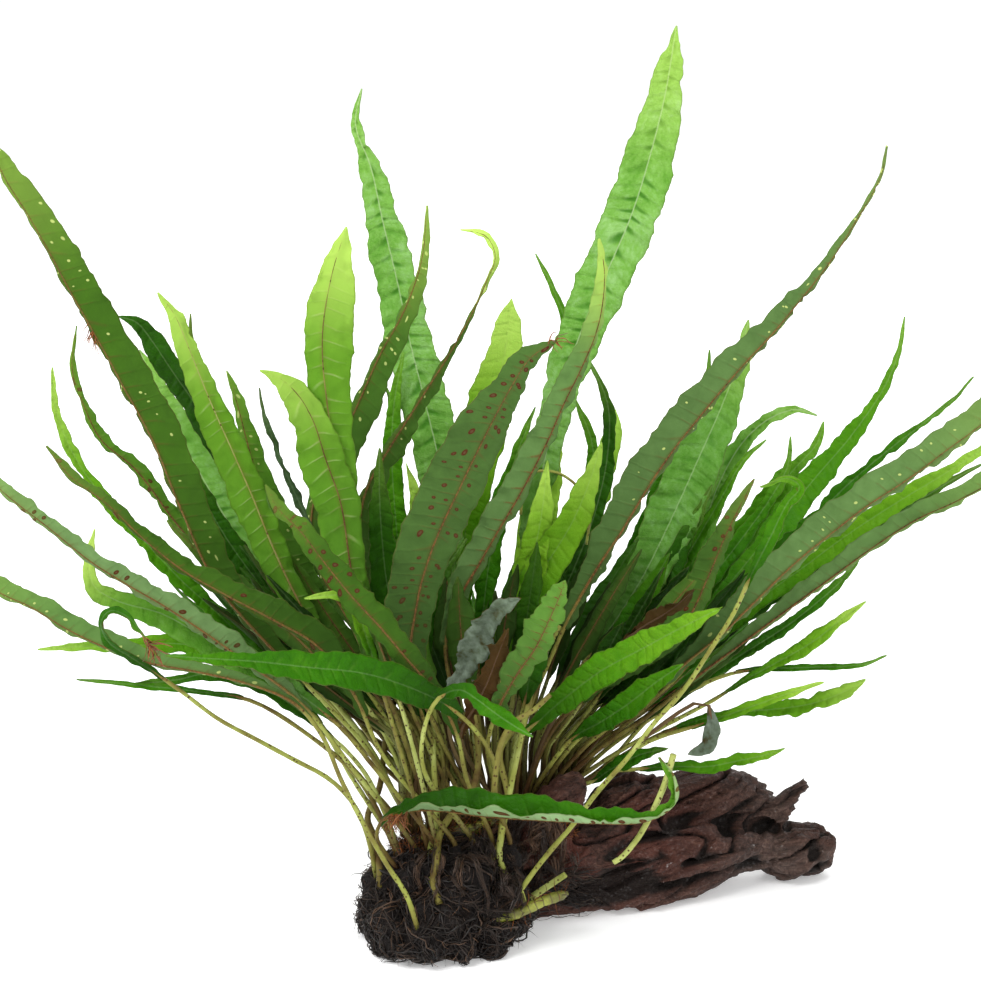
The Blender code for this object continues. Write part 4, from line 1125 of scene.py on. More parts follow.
def wood_finish():
    """Dark wet wood: streaks along the grain, red and pale patches, painted shade black in its furrows.
    """
    material, tree = new_finish("driftwood")
    streaks = cloudy(tree, place_on(tree, (22, 170, 170), (0, 0, -GRAIN_TURN)), 1.0, 6, 0.62)
    fine = cloudy(tree, place_on(tree, (110, 1000, 1000), (0, 0, -GRAIN_TURN)), 1.0, 4, 0.6)
    patches = cloudy(tree, place_on(tree), 34, 3)
    crumbs = cloudy(tree, place_on(tree), 900, 3, 0.7)
    colour = (streaks * 0.45 + fine * 0.25 + crumbs * 0.3).ramp(
        (0.38, (0.010, 0.005, 0.004)), (0.47, (0.036, 0.016, 0.011)),
        (0.55, (0.066, 0.028, 0.019)), (0.66, (0.150, 0.078, 0.055)))
    along, _, height = (node(tree, "SeparateXYZ", {}, {0: place_on(tree)}, axis) for axis in range(3))
    # Paler and greyer low down and towards the right end of the log.
    pale = height.between(0.002, 0.020, flip=True) * 0.4 + along.between(0.07, 0.12) * 0.8
    pale = pale * patches.between(0.30, 0.60)
    greyish = fine.ramp((0.3, (0.034, 0.025, 0.021)), (0.7, (0.140, 0.112, 0.096)))
    colour = mixed(pale * 0.55, colour, greyish)
    red = patches.between(0.38, 0.62) * (1 - pale) * along.between(0.03, 0.10, flip=True)
    colour = mixed(red * 0.62, colour, (0.108, 0.027, 0.017))
    # Painted shade: the deeper a furrow sank in, the blacker it is.
    colour = mixed(kept(tree, "worn").between(0.20, 0.75) * 0.90, colour, (0.004, 0.003, 0.002))
    wet = crumbs.between(0.52, 0.70) * patches.between(0.35, 0.65)
    bump = raised(fine * 0.5 + streaks * 0.6 + crumbs * 0.7, 1.0, 0.0016)
    return covered(material, skin(tree, colour, 0.50 + fine * 0.25, 0.22, Normal=bump,
                                  Coat_Weight=wet * 0.8, Coat_Roughness=0.12))


WOOD = wood_finish()
print("made", WOOD.name)

# %% The skin of the driftwood
WOOD_NODES = ["driftwood_log", "driftwood_ridge", "driftwood_spur", "driftwood_knob", "driftwood_stub"]
WOOD_VOXEL = 0.75
GRAIN_ALONG = Vector((math.cos(GRAIN_TURN), math.sin(GRAIN_TURN), 0))
GRAIN_ASIDE = Vector((-math.sin(GRAIN_TURN), math.cos(GRAIN_TURN), 0))
# Wear in mm: the furrows and how they rise along the grain, the ledges, and the splintered end
DEEP_FURROW, SMALL_FURROW, ROUGHNESS, FURROW_RISE = 3.2, 0.9, 0.42, 0.32
LEDGE, LEDGE_SPACING, LEDGE_SLOPE = 1.5, 8.5, 0.86
SPLINTER, SPLINTERED_FROM, SPLINTERED_ABOVE = 6.0, 70, 20
# Hollows that are plain to see: middle, half sizes along, across and up the grain, and depth
HOLLOW_REACH = 1.6
HOLLOWS = [
    ((40, -7, 10), (19, 8, 6), 6.5), ((52, 1, 19), (10, 5, 2.2), 6.0),
    ((72, 8, 17), (9, 5, 2.2), 6.0), ((60, 12, 27), (18, 5, 1.8), 5.0),
    ((92, 18, 9), (5, 5, 3.4), 4.5), ((116, 24, 12), (3, 4, 5), 3.0),
    ((84, 22, 23), (11, 6, 2.0), 5.0), ((66, 3, 9), (12, 5, 1.6), 4.0),
]
# Bars that bridge the narrow gaps between two solids: from, to, and radius
BRIDGES = [
    ((40, 18, 24), (92, 33, 18), 8), ((90, 33, 14), (106, 35, 12), 7),
    ((96, 36, 18), (103, 36, 24), 3.5), ((12, -3, 22), (22, 1, 34), 7),
]


def copy_of(name):
    """A new piece with a copy of this node's mesh."""
    return placed("copy_" + name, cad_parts[name].data.copy())


def remeshed(name, things, voxel):
    """Joins things, merges what touches and covers them with one even skin."""
    made = joined(name, things)
    bpy.ops.object.mode_set(mode="EDIT")
    bpy.ops.mesh.select_all(action="SELECT")
    bpy.ops.mesh.remove_doubles(threshold=0.00001)
    bpy.ops.object.mode_set(mode="OBJECT")
    cover = made.modifiers.new("one skin", "REMESH")
    cover.mode, cover.voxel_size = "VOXEL", voxel * MM
    apply_all(made)
    made.data.materials.clear()
    return made


def bridge(start, end, radius):
    """A rounded bar from one place to another."""
    start, end = Vector(start), Vector(end)
    bpy.ops.mesh.primitive_uv_sphere_add(segments=16, ring_count=8, radius=1)
    made = bpy.context.active_object
    run = end - start
    turn = run.to_track_quat("X", "Z").to_matrix().to_4x4()
    size = Matrix.Diagonal((run.length / 2 + radius * 0.5, radius, radius, 1))
    made.data.transform(Matrix.Translation((start + end) / 2) @ turn @ size)
    made.data.transform(Matrix.Scale(MM, 4))
    return made


def ridged(point, size):
    """Noise with sharp valleys, from 0 in a valley to 1 on a crest."""
    return abs(noise.noise(Vector(point) / size)) * 2


def grain_wear(a, b, c):
    """How far the surface stands out here, by furrows, roughness and ledges along the grain."""
    bend = noise.noise(Vector((a / 40, b / 25, c / 25))) * 3
    rise = c - a * FURROW_RISE
    deep = ridged((a / 10, b + bend, rise + bend), 9.0)
    mid = ridged((a / 11 + 40, b + bend * 0.5, rise), 3.8)
    tiny = noise.noise(Vector((a / 3, b / 1.1, c / 1.1)))
    layer = rise / LEDGE_SPACING + noise.noise(Vector((a / 40, b / 16, rise / 16))) * 1.3
    share = layer - math.floor(layer)
    ledge = share / LEDGE_SLOPE if share < LEDGE_SLOPE else (1 - share) / (1 - LEDGE_SLOPE)
    return (-DEEP_FURROW * (1 - min(deep * 3.0, 1)) ** 1.5 - SMALL_FURROW * (1 - min(mid * 3.0, 1))
            + ROUGHNESS * tiny + (ledge - 0.5) * LEDGE)


def hollow_depth(spot):
    """How deep the hollows go here."""
    total = 0
    for middle, sizes, depth in HOLLOWS:
        away = spot - Vector(middle)
        a = away.dot(GRAIN_ALONG)
        parts = (a, away.dot(GRAIN_ASIDE), away.z - a * 0.1)
        far = math.hypot(*(part / size for part, size in zip(parts, sizes)))
        if far < HOLLOW_REACH:
            total += depth * math.exp(-far ** 3)
    return total


def wear(wood):
    """Moves each vertex along its normal by grain-wise noise; how far it sank is kept for painted shade.
    """
    rows, worn = [], []
    normals = [vertex.normal.copy() for vertex in wood.data.vertices]
    for vertex, normal in zip(wood.data.vertices, normals):
        spot = vertex.co / MM
        a, b, c = spot.dot(GRAIN_ALONG), spot.dot(GRAIN_ASIDE), spot.z
        end = normal.dot(GRAIN_ALONG)
        move = grain_wear(a, b, c) * (0.35 + 0.65 * (1 - abs(end))) - hollow_depth(spot)
        moved = spot + normal * move
        if end > 0.25 and c > SPLINTERED_ABOVE and a > SPLINTERED_FROM:
            moved += GRAIN_ALONG * (noise.noise(Vector((b / 2.6, c / 2.2, 7))) * SPLINTER * end)
        moved.z = max(moved.z, 0.0)
        rows.append(tuple(moved * MM))
        worn.append(-move / 3.5)
    move_to(wood.data, np.array(rows))
    note(wood.data, "worn", np.array(worn))


bridges = [bridge(*ends) for ends in BRIDGES]
wood = remeshed("driftwood", [copy_of(name) for name in WOOD_NODES] + bridges, WOOD_VOXEL)
wear(wood)
wood.data.materials.append(WOOD)
only(wood)
bpy.ops.object.shade_smooth_by_angle(angle=math.radians(50))
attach(wood, "root")
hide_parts(*WOOD_NODES)
print("driftwood faces:", len(wood.data.polygons))

# %% [markdown]
# ## Strands
#
# Roots, hairs and scales are all thin tapered strands. Thousands of them would be heavy as
# curves, so each is a three-sided tube of a few rings, and all strands of one kind are one mesh.

# %% A mesh of strands
THREE_TURNS = (0, 2.094, 4.189)


def strands(name, bundle, finish):
    """One mesh of three-sided tapered tubes: a path of points in mm, a radius and a tint for each."""
    corners, faces, tints = [], [], []
    for path, radius, tint in bundle:
        runs = unit(np.gradient(path, axis=0))
        side = unit(np.cross(runs, (0.31, 0.47, 0.83)))
        rise = np.cross(runs, side)
        first, count = len(corners), len(path)
        taper = radius * (1 - 0.75 * np.linspace(0, 1, count) ** 1.5)
        for spot, out, up, size in zip(path, side, rise, taper):
            corners += [spot + (out * math.cos(turn) + up * math.sin(turn)) * size
                        for turn in THREE_TURNS]
        tints += [tint] * count * 3
        for k in range(count - 1):
            a = first + 3 * k
            for j in range(3):
                faces.append((a + j, a + 3 + j, a + 3 + (j + 1) % 3, a + (j + 1) % 3))
        last = first + 3 * (count - 1)
        faces += [(first, first + 1, first + 2), (last + 2, last + 1, last)]
    mesh = bpy.data.meshes.new(name)
    mesh.from_pydata([tuple(corner * MM) for corner in corners], [], faces)
    mesh.materials.append(finish)
    note(mesh, "tint", np.array(tints))
    made = placed(name, mesh)
    only(made)
    bpy.ops.object.mode_set(mode="EDIT")
    bpy.ops.mesh.select_all(action="SELECT")
    bpy.ops.mesh.normals_make_consistent(inside=False)
    bpy.ops.object.mode_set(mode="OBJECT")
    bpy.ops.object.shade_smooth()
    print(name, "strands:", len(bundle), "faces:", len(mesh.polygons))
    return made


def strand_finish(name, *stops):
    """Fibres whose colour goes by the strand's own tint."""
    material, tree = new_finish(name)
    patches = cloudy(tree, place_on(tree), 300, 2)
    colour = (kept(tree, "tint") + (patches - 0.5) * 0.4).ramp(*stops)
    return covered(material, skin(tree, colour, 0.30 + patches * 0.35, 0.35))


ROOTS = strand_finish("root fibres", (0.0, (0.007, 0.005, 0.004)), (0.5, (0.040, 0.024, 0.016)),
                      (1.0, (0.150, 0.080, 0.042)))
SCALES = strand_finish("rusty scales", (0.0, (0.025, 0.009, 0.003)), (0.5, (0.115, 0.034, 0.007)),
                       (1.0, (0.290, 0.092, 0.016)))
print("made", ROOTS.name, "and", SCALES.name)

# %% [markdown]
# ## The root mat
#
# The mat is a felt of wiry roots around the end of the log. Its solid is remeshed, pitted and
# shrunk a little for the dark mass inside. Strands go over it: roots that crawl along its
# surface, short loose ends and loops that stand out and blur the outline, and locks that hang
# together like wet hair. A crawling root stays near the mat because every step of it asks for
# the nearest point of the mass.

# %% The mass of the mat


def mat_finish():
    """Nearly black, with brown clumps."""
    material, tree = new_finish("root mass")
    clumps = cloudy(tree, place_on(tree, (1, 1, 0.4)), 420, 5, 0.7)
    colour = clumps.ramp((0.35, (0.004, 0.003, 0.003)), (0.6, (0.016, 0.010, 0.008)),
                         (0.8, (0.045, 0.028, 0.020)))
    bump = raised(clumps, 1.0, 0.003)
    return covered(material, skin(tree, colour, 0.55 + clumps * 0.3, 0.25, Normal=bump))


def lumpy(thing, shrink, depth, size):
    """Shrinks a mass along its normals and gives it lumps of this size."""
    rows = []
    for vertex in thing.data.vertices:
        spot = vertex.co / MM
        move = depth * noise.noise(spot / size) + 0.4 * depth * noise.noise(spot / (size * 0.4)) - shrink
        spot += vertex.normal * move
        spot.z = max(spot.z, 0.0)
        rows.append(tuple(spot * MM))
    move_to(thing.data, np.array(rows))


mass = remeshed("root_mass", [copy_of("root_mat")], 1.1)
lumpy(mass, 1.4, 5.0, 8)
mass.data.materials.append(mat_finish())
only(mass)
bpy.ops.object.shade_smooth()
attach(mass, "root")
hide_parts("root_mat")
print("root mass faces:", len(mass.data.polygons))

# %% Roots that crawl over the mat
LOWEST = 0.15
CRAWLING = 1500


def surface_of(*things):
    """One search tree over the faces of these pieces, in mm."""
    corners, faces = [], []
    for thing in things:
        first = len(corners)
        corners += [vertex.co / MM for vertex in thing.data.vertices]
        faces += [[first + i for i in face.vertices] for face in thing.data.polygons]
    return BVHTree.FromPolygons(corners, faces)


def by_chance(draw, spread, middle=(0, 0, 0)):
    """A random step, which varies by `spread` around its middle."""
    return Vector([draw.gauss(centre, spread) for centre in middle])


def crawl(draw, ground, start, way, steps, step, height, wiry=0.33, pull=0.0, bob=0.6):
    """A path that starts here, heads this way and stays near the ground.

    `wiry` is how much it wanders, `pull` how much it heads down, `bob` how far it dips.
    """
    spot, path = Vector(start), []
    for k in range(steps):
        near, normal, _, _ = ground.find_nearest(spot)
        lifted = near + normal * (height * (1 - bob * math.cos(k * 0.9 + height * 5) ** 2))
        lifted.z = max(lifted.z, LOWEST)
        path.append(tuple(lifted))
        way = (way + by_chance(draw, 1) * wiry - Vector((0, 0, pull))).normalized()
        way = (way - normal * way.dot(normal)).normalized()
        spot = lifted + way * step
    return np.array(path)


draw = random.Random("roots")
felt = surface_of(mass, wood)
mass_spots = [vertex.co / MM for vertex in mass.data.vertices]
bundle = []
for _ in range(CRAWLING):
    start = draw.choice(mass_spots)
    outward = Vector((start.x + 15, start.y + 18, 0)).normalized()
    way = Vector((draw.gauss(0, 0.7), draw.gauss(0, 0.7), draw.gauss(-0.6, 0.6))) + outward * 0.2
    steps = draw.randint(6, 14)
    path = crawl(draw, felt, start, way.normalized(), steps, draw.uniform(1.6, 2.8),
                 draw.uniform(0.1, 2.0), draw.choice((0.12, 0.2, 0.3)))
    bundle.append((path, draw.choice((0.12, 0.16, 0.20, 0.28, 0.45)), draw.random() ** 3 * 0.8))
crawling = strands("roots_crawling", bundle, ROOTS)

# %% Loose ends, loops and locks
LOOSE_ENDS, LOOPS, ROOTS_IN_A_LOCK = 700, 170, 11
# Windows of the sheet: across, up, how many locks, and how far the highest stands off
LOCKS = (((-22, 25), (16, 34), 150, 4.5), ((-1, 9), (-1, 12), 14, 7.5))
# The window in which single roots creep onto the log, and how many
WISPS = ((6, 30), (2, 14), 320)


def loose(draw, start, way, length, steps, droop):
    """A free strand: it leaves this way and droops."""
    spot, path = Vector(start), [tuple(start)]
    for _ in range(steps):
        way = (way + by_chance(draw, 1) * 0.28 + Vector((0, 0, -droop))).normalized()
        spot = spot + way * (length / steps)
        spot.z = max(spot.z, LOWEST)
        path.append(tuple(spot))
    return np.array(path)


def loop(draw, ground, start, normal, span, height):
    """A wiry root that leaves the mat in an arc and comes back to it."""
    side = normal.cross(by_chance(draw, 1)).normalized()
    path = []
    for share in np.linspace(0, 1, 9):
        rise = height * math.sin(math.pi * share) * (0.8 + 0.3 * math.sin(7 * share + span))
        spot = start + side * span * (share - 0.5) + normal * rise
        near = ground.find_nearest(spot)[0]
        spot = near.lerp(spot, min(1.0, 3 * math.sin(math.pi * share)))
        spot.z = max(spot.z, LOWEST)
        path.append(tuple(spot))
    return np.array(path)


def lock(draw, ground, start, way, steps, height, count):
    """Fine roots that hang together like wet hair: one path, and others that keep close to it."""
    middle = crawl(draw, ground, start, way, steps, 2.0, height, 0.06, 0.35, 0.2)
    together = np.linspace(1, 0.25, len(middle))[:, None]
    for _ in range(count):
        aside = np.array([draw.gauss(0, 0.9), draw.gauss(-0.3, 0.5), draw.gauss(0, 0.6)])
        wave = wander(draw, np.arange(len(middle)) * 2.0, 9)[:, None] * 0.25
        yield np.maximum(middle + aside * together + wave, (-1e3, -1e3, LOWEST))


def shows_at(ground, across, up):
    """Where the eye's ray through this place on the sheet meets the ground, and the way out of it."""
    place, normal, _, _ = ground.ray_cast(EYE, (seen(across, up, 0) - EYE).normalized())
    return place, normal


def scattered(draw, ground, wide, high, count):
    """Places on the ground, with the way out of it, that show inside this window of the sheet."""
    for _ in range(count):
        place, normal = shows_at(ground, draw.uniform(*wide), draw.uniform(*high))
        if place:
            yield place, normal


bundle = []
mass_normals = [(vertex.co / MM, vertex.normal.copy()) for vertex in mass.data.vertices]
for _ in range(LOOSE_ENDS):
    path = loose(draw, *draw.choice(mass_normals), draw.uniform(2.5, 7.0), 5, 0.12)
    bundle.append((path, draw.uniform(0.08, 0.20), draw.random() ** 2))
for _ in range(LOOPS):
    path = loop(draw, felt, *draw.choice(mass_normals), draw.uniform(5, 13), draw.uniform(1.2, 4.2))
    bundle.append((path, draw.uniform(0.14, 0.42), draw.random() ** 3 * 0.6))
for wide, high, count, highest in LOCKS:
    for start, _ in scattered(draw, felt, wide, high, count):
        way = Vector((draw.gauss(0.05, 0.2), -0.5, -1)).normalized()
        tone = draw.uniform(0.15, 0.65)
        steps = draw.randint(5, 11)
        height = draw.uniform(1.5, highest)
        for path in lock(draw, felt, start, way, steps, height, ROOTS_IN_A_LOCK):
            bundle.append((path, draw.uniform(0.10, 0.20), tone + draw.uniform(-0.1, 0.25)))
for start, _ in scattered(draw, felt, *WISPS):
    way = Vector((1, 0.2, draw.gauss(-0.35, 0.3))).normalized()
    steps = draw.randint(4, 9)
    path = crawl(draw, felt, start, way, steps, 1.8, draw.uniform(0.3, 2.4), 0.2, 0.1)
    bundle.append((path, draw.uniform(0.10, 0.24), draw.random() ** 2 * 0.7))
hanging = strands("roots_loose", bundle, ROOTS)

# %% [markdown]
# ## Rusty scales
#
# The feet of the stalks stand in red brown scales, which also sit all along the creeping stems.
# A few scraps of the same fibre have caught on blades.

# %% Rusty scales at the feet of the stalks
# Windows of the sheet: across, up, how many scales, and the longest of them
TUFTS = (((-31, -17), (19, 37), 620, 6.5), ((-18, 14), (28, 40), 420, 5.0),
         ((14, 30), (24, 34), 160, 4.0))
SCALES_ON = {"back": 500, "crown": 900, "front": 250, "low": 60}
# Scraps caught on blades: the frond, the place on the sheet, which way they hang, how many
SCRAPS = [("long_left", -131, 190, (-0.2, -1), 14), ("ring_left", -114, 90, (0.6, -0.6), 26),
          ("dark_centre", 21.5, 189.5, (0.6, 0.4), 9), ("front_curled", -34, 30.5, (-0.2, -0.8), 40)]
bundle = []
for wide, high, count, longest in TUFTS:
    for start, normal in scattered(draw, felt, wide, high, count):
        way = (normal + by_chance(draw, 0.6, (0, 0, 0.5))).normalized()
        path = loose(draw, start, way, draw.uniform(2, longest), 5, 0.02)
        bundle.append((path, draw.uniform(0.10, 0.22), draw.random() ** 1.4))
for stem_name, points in STEMS.items():
    line = smooth_line(points)
    for _ in range(SCALES_ON[stem_name]):
        spot = points_at(line, np.array([draw.random() * line[1][-1]]))[0]
        way = by_chance(draw, 0.6, (0, 0, 0.5)).normalized()
        start = Vector(spot) + way * STEM_RADIUS * 0.9
        path = loose(draw, start, way, draw.uniform(2, 6.5), 4, 0.03)
        bundle.append((path, draw.uniform(0.10, 0.22), draw.random() ** 1.3))
for name, across, up, fall, count in SCRAPS:
    blade = surface_of(fronds[name])
    held = blade.find_nearest(seen(across, up, leaves[name].tip_back))[0]
    for _ in range(count):
        start = blade.find_nearest(held + by_chance(draw, 1.4))[0]
        way = Vector((draw.gauss(fall[0], 0.4), -0.4, draw.gauss(fall[1], 0.4))).normalized()
        path = loose(draw, start, way, draw.uniform(3, 9), 6, 0.12)
        bundle.append((path, draw.uniform(0.16, 0.36), draw.uniform(0.5, 1.0)))
tuft = strands("rusty_scales", bundle, SCALES)
for piece in (crawling, hanging, tuft):
    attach(piece, "root")

# %% [markdown]
# ## The creeping stems
#
# A java fern's creeping stem is about as thick as a pencil: five millimetres, yellow green, and
# ringed with brown where old scales sat. A ringed cylinder is bent along the stem's line, swells
# between the rings and closes in a rounded end.

# %% Stems
RING_SPACING = 2.7
STEM_SHARE = {"back": 1, "crown": 1, "front": 1, "low": 0.78}


def stem_finish():
    """Yellow green with brown rings and grains."""
    material, tree = new_finish("creeping stem")
    patches = cloudy(tree, place_on(tree), 200, 3)
    ring = abs((kept(tree, "reach") / RING_SPACING + patches * 0.5).maths("FRACT") - 0.5)
    colour = patches.ramp((0.3, (0.060, 0.050, 0.009)), (0.5, (0.140, 0.145, 0.014)),
                          (0.7, (0.270, 0.290, 0.032)))
    grain = cloudy(tree, place_on(tree), 1300, 3)
    colour = mixed(ring.between(0.40, 0.47) * (0.3 + grain), colour, (0.060, 0.032, 0.012))
    colour = mixed(grain.between(0.55, 0.70) * 0.5, colour, (0.090, 0.058, 0.018))
    bump = raised(patches + ring, 0.6, 0.0008)
    return covered(material, skin(tree, colour, 0.45 + patches * 0.1, 0.5, Normal=bump))


def bent_rod(name, line, radius_at, finish, rings=90):
    """A ringed cylinder bent along a line. `radius_at` gives its radius at each length along."""
    made = stalk_blank(rings)
    made.name = name
    bpy.ops.object.shade_smooth()
    mesh = made.data
    mesh.materials.clear()
    mesh.materials.append(finish)
    for face in mesh.polygons:
        face.material_index = 0
    blank = places_of(mesh)
    places = (blank[:, 0] + 1) / 2 * line[1][-1]
    middles, runs = run_at(line, places)
    side = unit(np.cross((0, 0, 1), runs))
    rise = np.cross(runs, side)
    radius = radius_at(places)[:, None]
    move_to(mesh, (middles + side * blank[:, 1:2] * radius + rise * blank[:, 2:3] * radius) * MM)
    note(mesh, "reach", places)
    return made


def stem_radius(places, total, share):
    """A stem's radius along it: rounded ends, and a swelling between every two rings."""
    ends = np.clip(np.minimum(places, total - places) / 2.5, 0.15, 1) ** 0.5
    swelling = 1 + 0.035 * np.sin(places * math.tau / RING_SPACING) + 0.05 * np.sin(places * 0.9 + total)
    return STEM_RADIUS * share * ends * swelling


stem_skin = stem_finish()
for stem_name, points in STEMS.items():
    line = smooth_line(points)
    total, share = line[1][-1], STEM_SHARE[stem_name]
    piece = bent_rod("stem_" + stem_name, line,
                     lambda places: stem_radius(places, total, share), stem_skin)
    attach(piece, "root")
    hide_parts("rhizome_" + stem_name)
    print(piece.name, round(total), "mm long")

# %% [markdown]
# ## Bare stalks
#
# Between the mat and the blades stand stalks whose blades are lost in the crowd, or were cut off.
# Those that can be followed are drawn one by one. A stalk that starts low leaves the mat where the
# eye's ray meets it, and stays in front of it until it has cleared the top.

# %% Stalks that can be followed
# For each stalk: its width, how far back its top lies, and its route on the sheet
BARE_STALKS = [
    (2.2, 4, [(-37, 7), (-37, 15), (-39, 21), (-39, 25), (-41, 31), (-37, 41), (-35, 57), (-32, 70)]),
    (2.0, 0, [(-20, 9), (-20, 21), (-18, 30), (-19, 50), (-19, 68)]),
    (2.4, -6, [(-17, 2), (-19, 10), (-18, 17), (-17, 25), (-13, 32), (-7, 38), (-4, 50), (-6, 68)]),
    (2.3, 2, [(0, 16), (3, 22), (4, 29), (6, 37), (3, 52), (5, 57), (9, 62), (14, 74)]),
    (2.0, 6, [(5, 12), (3, 18), (6, 37), (9, 52), (12, 66), (16, 81), (23, 95)]),
    (1.9, 2, [(-20, 28), (-21, 52), (-24, 60), (-31, 70), (-37, 80)]),
    (2.0, 0, [(-18, 30), (-18, 41), (-19, 66), (-23, 80)]),
    (2.2, -4, [(-21, 22), (-31, 37), (-39, 52), (-49, 66), (-58, 76)]),
    (1.9, 4, [(-16, 26), (-27, 40), (-38, 55), (-47, 67), (-58, 78)]),
    (1.8, 8, [(-24, 24), (-34, 42), (-43, 57), (-52, 68), (-62, 77)]),
    (1.0, 30, [(10, 132), (12, 145), (22, 146), (31, 139), (33, 132), (32, 122)]),
    (2.3, -22, [(13, 4), (19, 8), (25, 12)]),
    (1.9, -34, [(1, 38), (2, 48), (4, 57), (8, 63), (14, 66.5), (20, 72)]),
]
# The stalk that was cut off hangs in front of the wood
CUT_WIDTH, CUT_BACK = 2.0, -44
CUT_ROUTE = [(61, 52), (58, 42), (55, 35), (52, 29), (49, 24), (44, 18), (41, 16)]
CLEAR_OF_GROUND = 1.6


def stalk_line(route, tip_back):
    """The line of a bare stalk: it leaves the ground where it shows and leans to `tip_back`."""
    foot = shows_at(felt, *route[0])[0]
    foot_back = foot.y if foot else tip_back - 6
    points = []
    for share, place in zip(np.linspace(0, 1, len(route)), route):
        back = foot_back + (tip_back - foot_back) * share
        ground_there = shows_at(felt, *place)[0] if share > 0 else None
        if ground_there:
            back = min(back, ground_there.y - CLEAR_OF_GROUND)
        points.append(seen(*place, back))
    return smooth_line(points)


def bare_stalk(width, line, tone):
    """A stalk that is a little thinner at its top."""
    length = line[1][-1]
    made = bent_rod("stalk", line, lambda places: width / 2 * (1.08 - 0.16 * places / length),
                    STALK, 40)
    notes = {"along": -0.5, "lime": 0.9, "tone": tone, "wilt": 0, "shade": 0, "foot": 1}
    for key, value in notes.items():
        note(made.data, key, value)
    return made


draw = random.Random("stalks")
stalks = [bare_stalk(width, stalk_line(route, tip_back), draw.uniform(-1, 1))
          for width, tip_back, route in BARE_STALKS]
stalks.append(bare_stalk(CUT_WIDTH, smooth_line([seen(*place, CUT_BACK) for place in CUT_ROUTE]), 1))
bare = joined("bare_stalks", stalks)
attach(bare, "root")
print("bare stalks:", len(stalks), "faces:", len(bare.data.polygons))

# %% [markdown]
# ## More fronds
#
# A clump this old has far more fronds than the model's fifty. The smaller and half hidden ones
# that can be made out one by one are drawn here, in three groups: left, middle and right. Each
# has the stem that it grows from and its place on it.

# %% Fronds that can be made out
MORE = {}
MORE["left"] = [
    ("crown", 0.1, Leaf(5, 0.35, -2, UNDER, DARK, [(-34, 62), (-54, 90), (-72, 118), (-85, 140),
     (-92, 160), (-97, 180), (-100, 192), (-100, 199)])),
    ("crown", 0.16, Leaf(2.2, 0.55, -36, UPPER, DARK, [(-31, 64), (-43, 88), (-53, 112), (-61, 130),
     (-67, 143), (-74, 161), (-76, 168), (-77, 174)], drawn_out=0.2, wavy=1.1, ripple=1.4, shade=0.35,
     wilt=0.35)),
    ("front", 0.3, Leaf(5, 0.6, -44, UPPER, LIME, [(-32, 60), (-38, 80), (-42, 93), (-45, 102),
     (-50, 105), (-55, 105), (-62, 104)])),
    ("front", 0.36, Leaf(3.5, 0.45, -48, UNDER, DARK, [(-28, 62), (-36, 86), (-44, 106), (-54, 119),
     (-63, 126)], drawn_out=0.5)),
    ("front", 0.08, Leaf(5, 0.4, -36, UPPER, DARK, [(-42, 46), (-58, 62), (-77, 75), (-94, 79),
     (-104, 77), (-122, 75)], drawn_out=0.5)),
    ("front", 0.05, Leaf(2.2, 0.6, -40, UPPER, GREEN, [(-44, 44), (-60, 58), (-80, 70), (-98, 73),
     (-116, 75), (-138, 77)], drawn_out=0.6)),
    ("back", 0.1, Leaf(9, 0.32, 30, UPPER, DARK, [(-38, 60), (-58, 84), (-75, 106), (-88, 124),
     (-98, 142), (-106, 160)])),
    ("crown", 0.22, Leaf(8, 0.34, -20, UNDER, DARK, [(-34, 58), (-50, 76), (-66, 92), (-82, 106),
     (-96, 118), (-108, 130)], turns=(0, 20))),
]
MORE["middle"] = [
    ("back", 0.34, Leaf(3.5, 0.45, 36, UPPER, GREEN, [(-20, 70), (-26, 105), (-31, 140), (-33, 163),
     (-34, 172), (-38, 180)], drawn_out=0.5)),
    ("back", 0.38, Leaf(6, 0.45, 18, UPPER, LIME, [(-20, 70), (-26, 98), (-28, 123), (-25, 137),
     (-28, 149)])),
    ("back", 0.42, Leaf(4, 0.45, 68, UPPER, GREEN, [(8, 76), (14, 120), (21, 165), (25, 194), (21, 207),
     (15, 219)], drawn_out=0.3)),
    ("back", 0.62, Leaf(6.5, 0.38, 60, UPPER, DARK, [(12, 75), (24, 105), (34, 130), (39, 152),
     (39, 169), (32, 185)], drawn_out=0.5)),
    ("back", 0.52, Leaf(4, 0.5, 40, UPPER, LIME, [(0, 70), (6, 95), (10, 120), (11, 139)],
     drawn_out=0.3)),
    ("crown", 0.52, Leaf(8, 0.4, -46, UNDER, GREY, [(-10, 58), (-5, 68), (-1, 76), (2, 84), (6, 94)],
     drawn_out=0.2, bulge=1.4, ripple=1.6, wavy=1.3, shade=0.25)),
    ("crown", 0.56, Leaf(13, 0.38, 8, UPPER, LIME, [(-4, 66), (4, 92), (17, 113), (27, 129), (33, 143),
     (37, 156)], drawn_out=0.3)),
    ("crown", 0.5, Leaf(11, 0.38, 10, UPPER, LIME, [(2, 70), (8, 95), (13, 113), (17, 132), (19, 150)],
     drawn_out=0.3)),
    ("crown", 0.4, Leaf(9, 0.32, 12, UPPER, DARK, [(-20, 58), (-24, 78), (-22, 96), (-16, 112),
     (-8, 124)], drawn_out=0.5, shade=0.3)),
    ("crown", 0.44, Leaf(8, 0.32, 6, UNDER, GREEN, [(-18, 58), (-22, 82), (-30, 100), (-40, 116),
     (-46, 128)], turns=(0, 10), drawn_out=0.5)),
    ("back", 0.46, Leaf(8, 0.32, 40, UPPER, GREEN, [(-4, 74), (-2, 104), (2, 130), (8, 150), (15, 168)],
     drawn_out=0.6)),
]
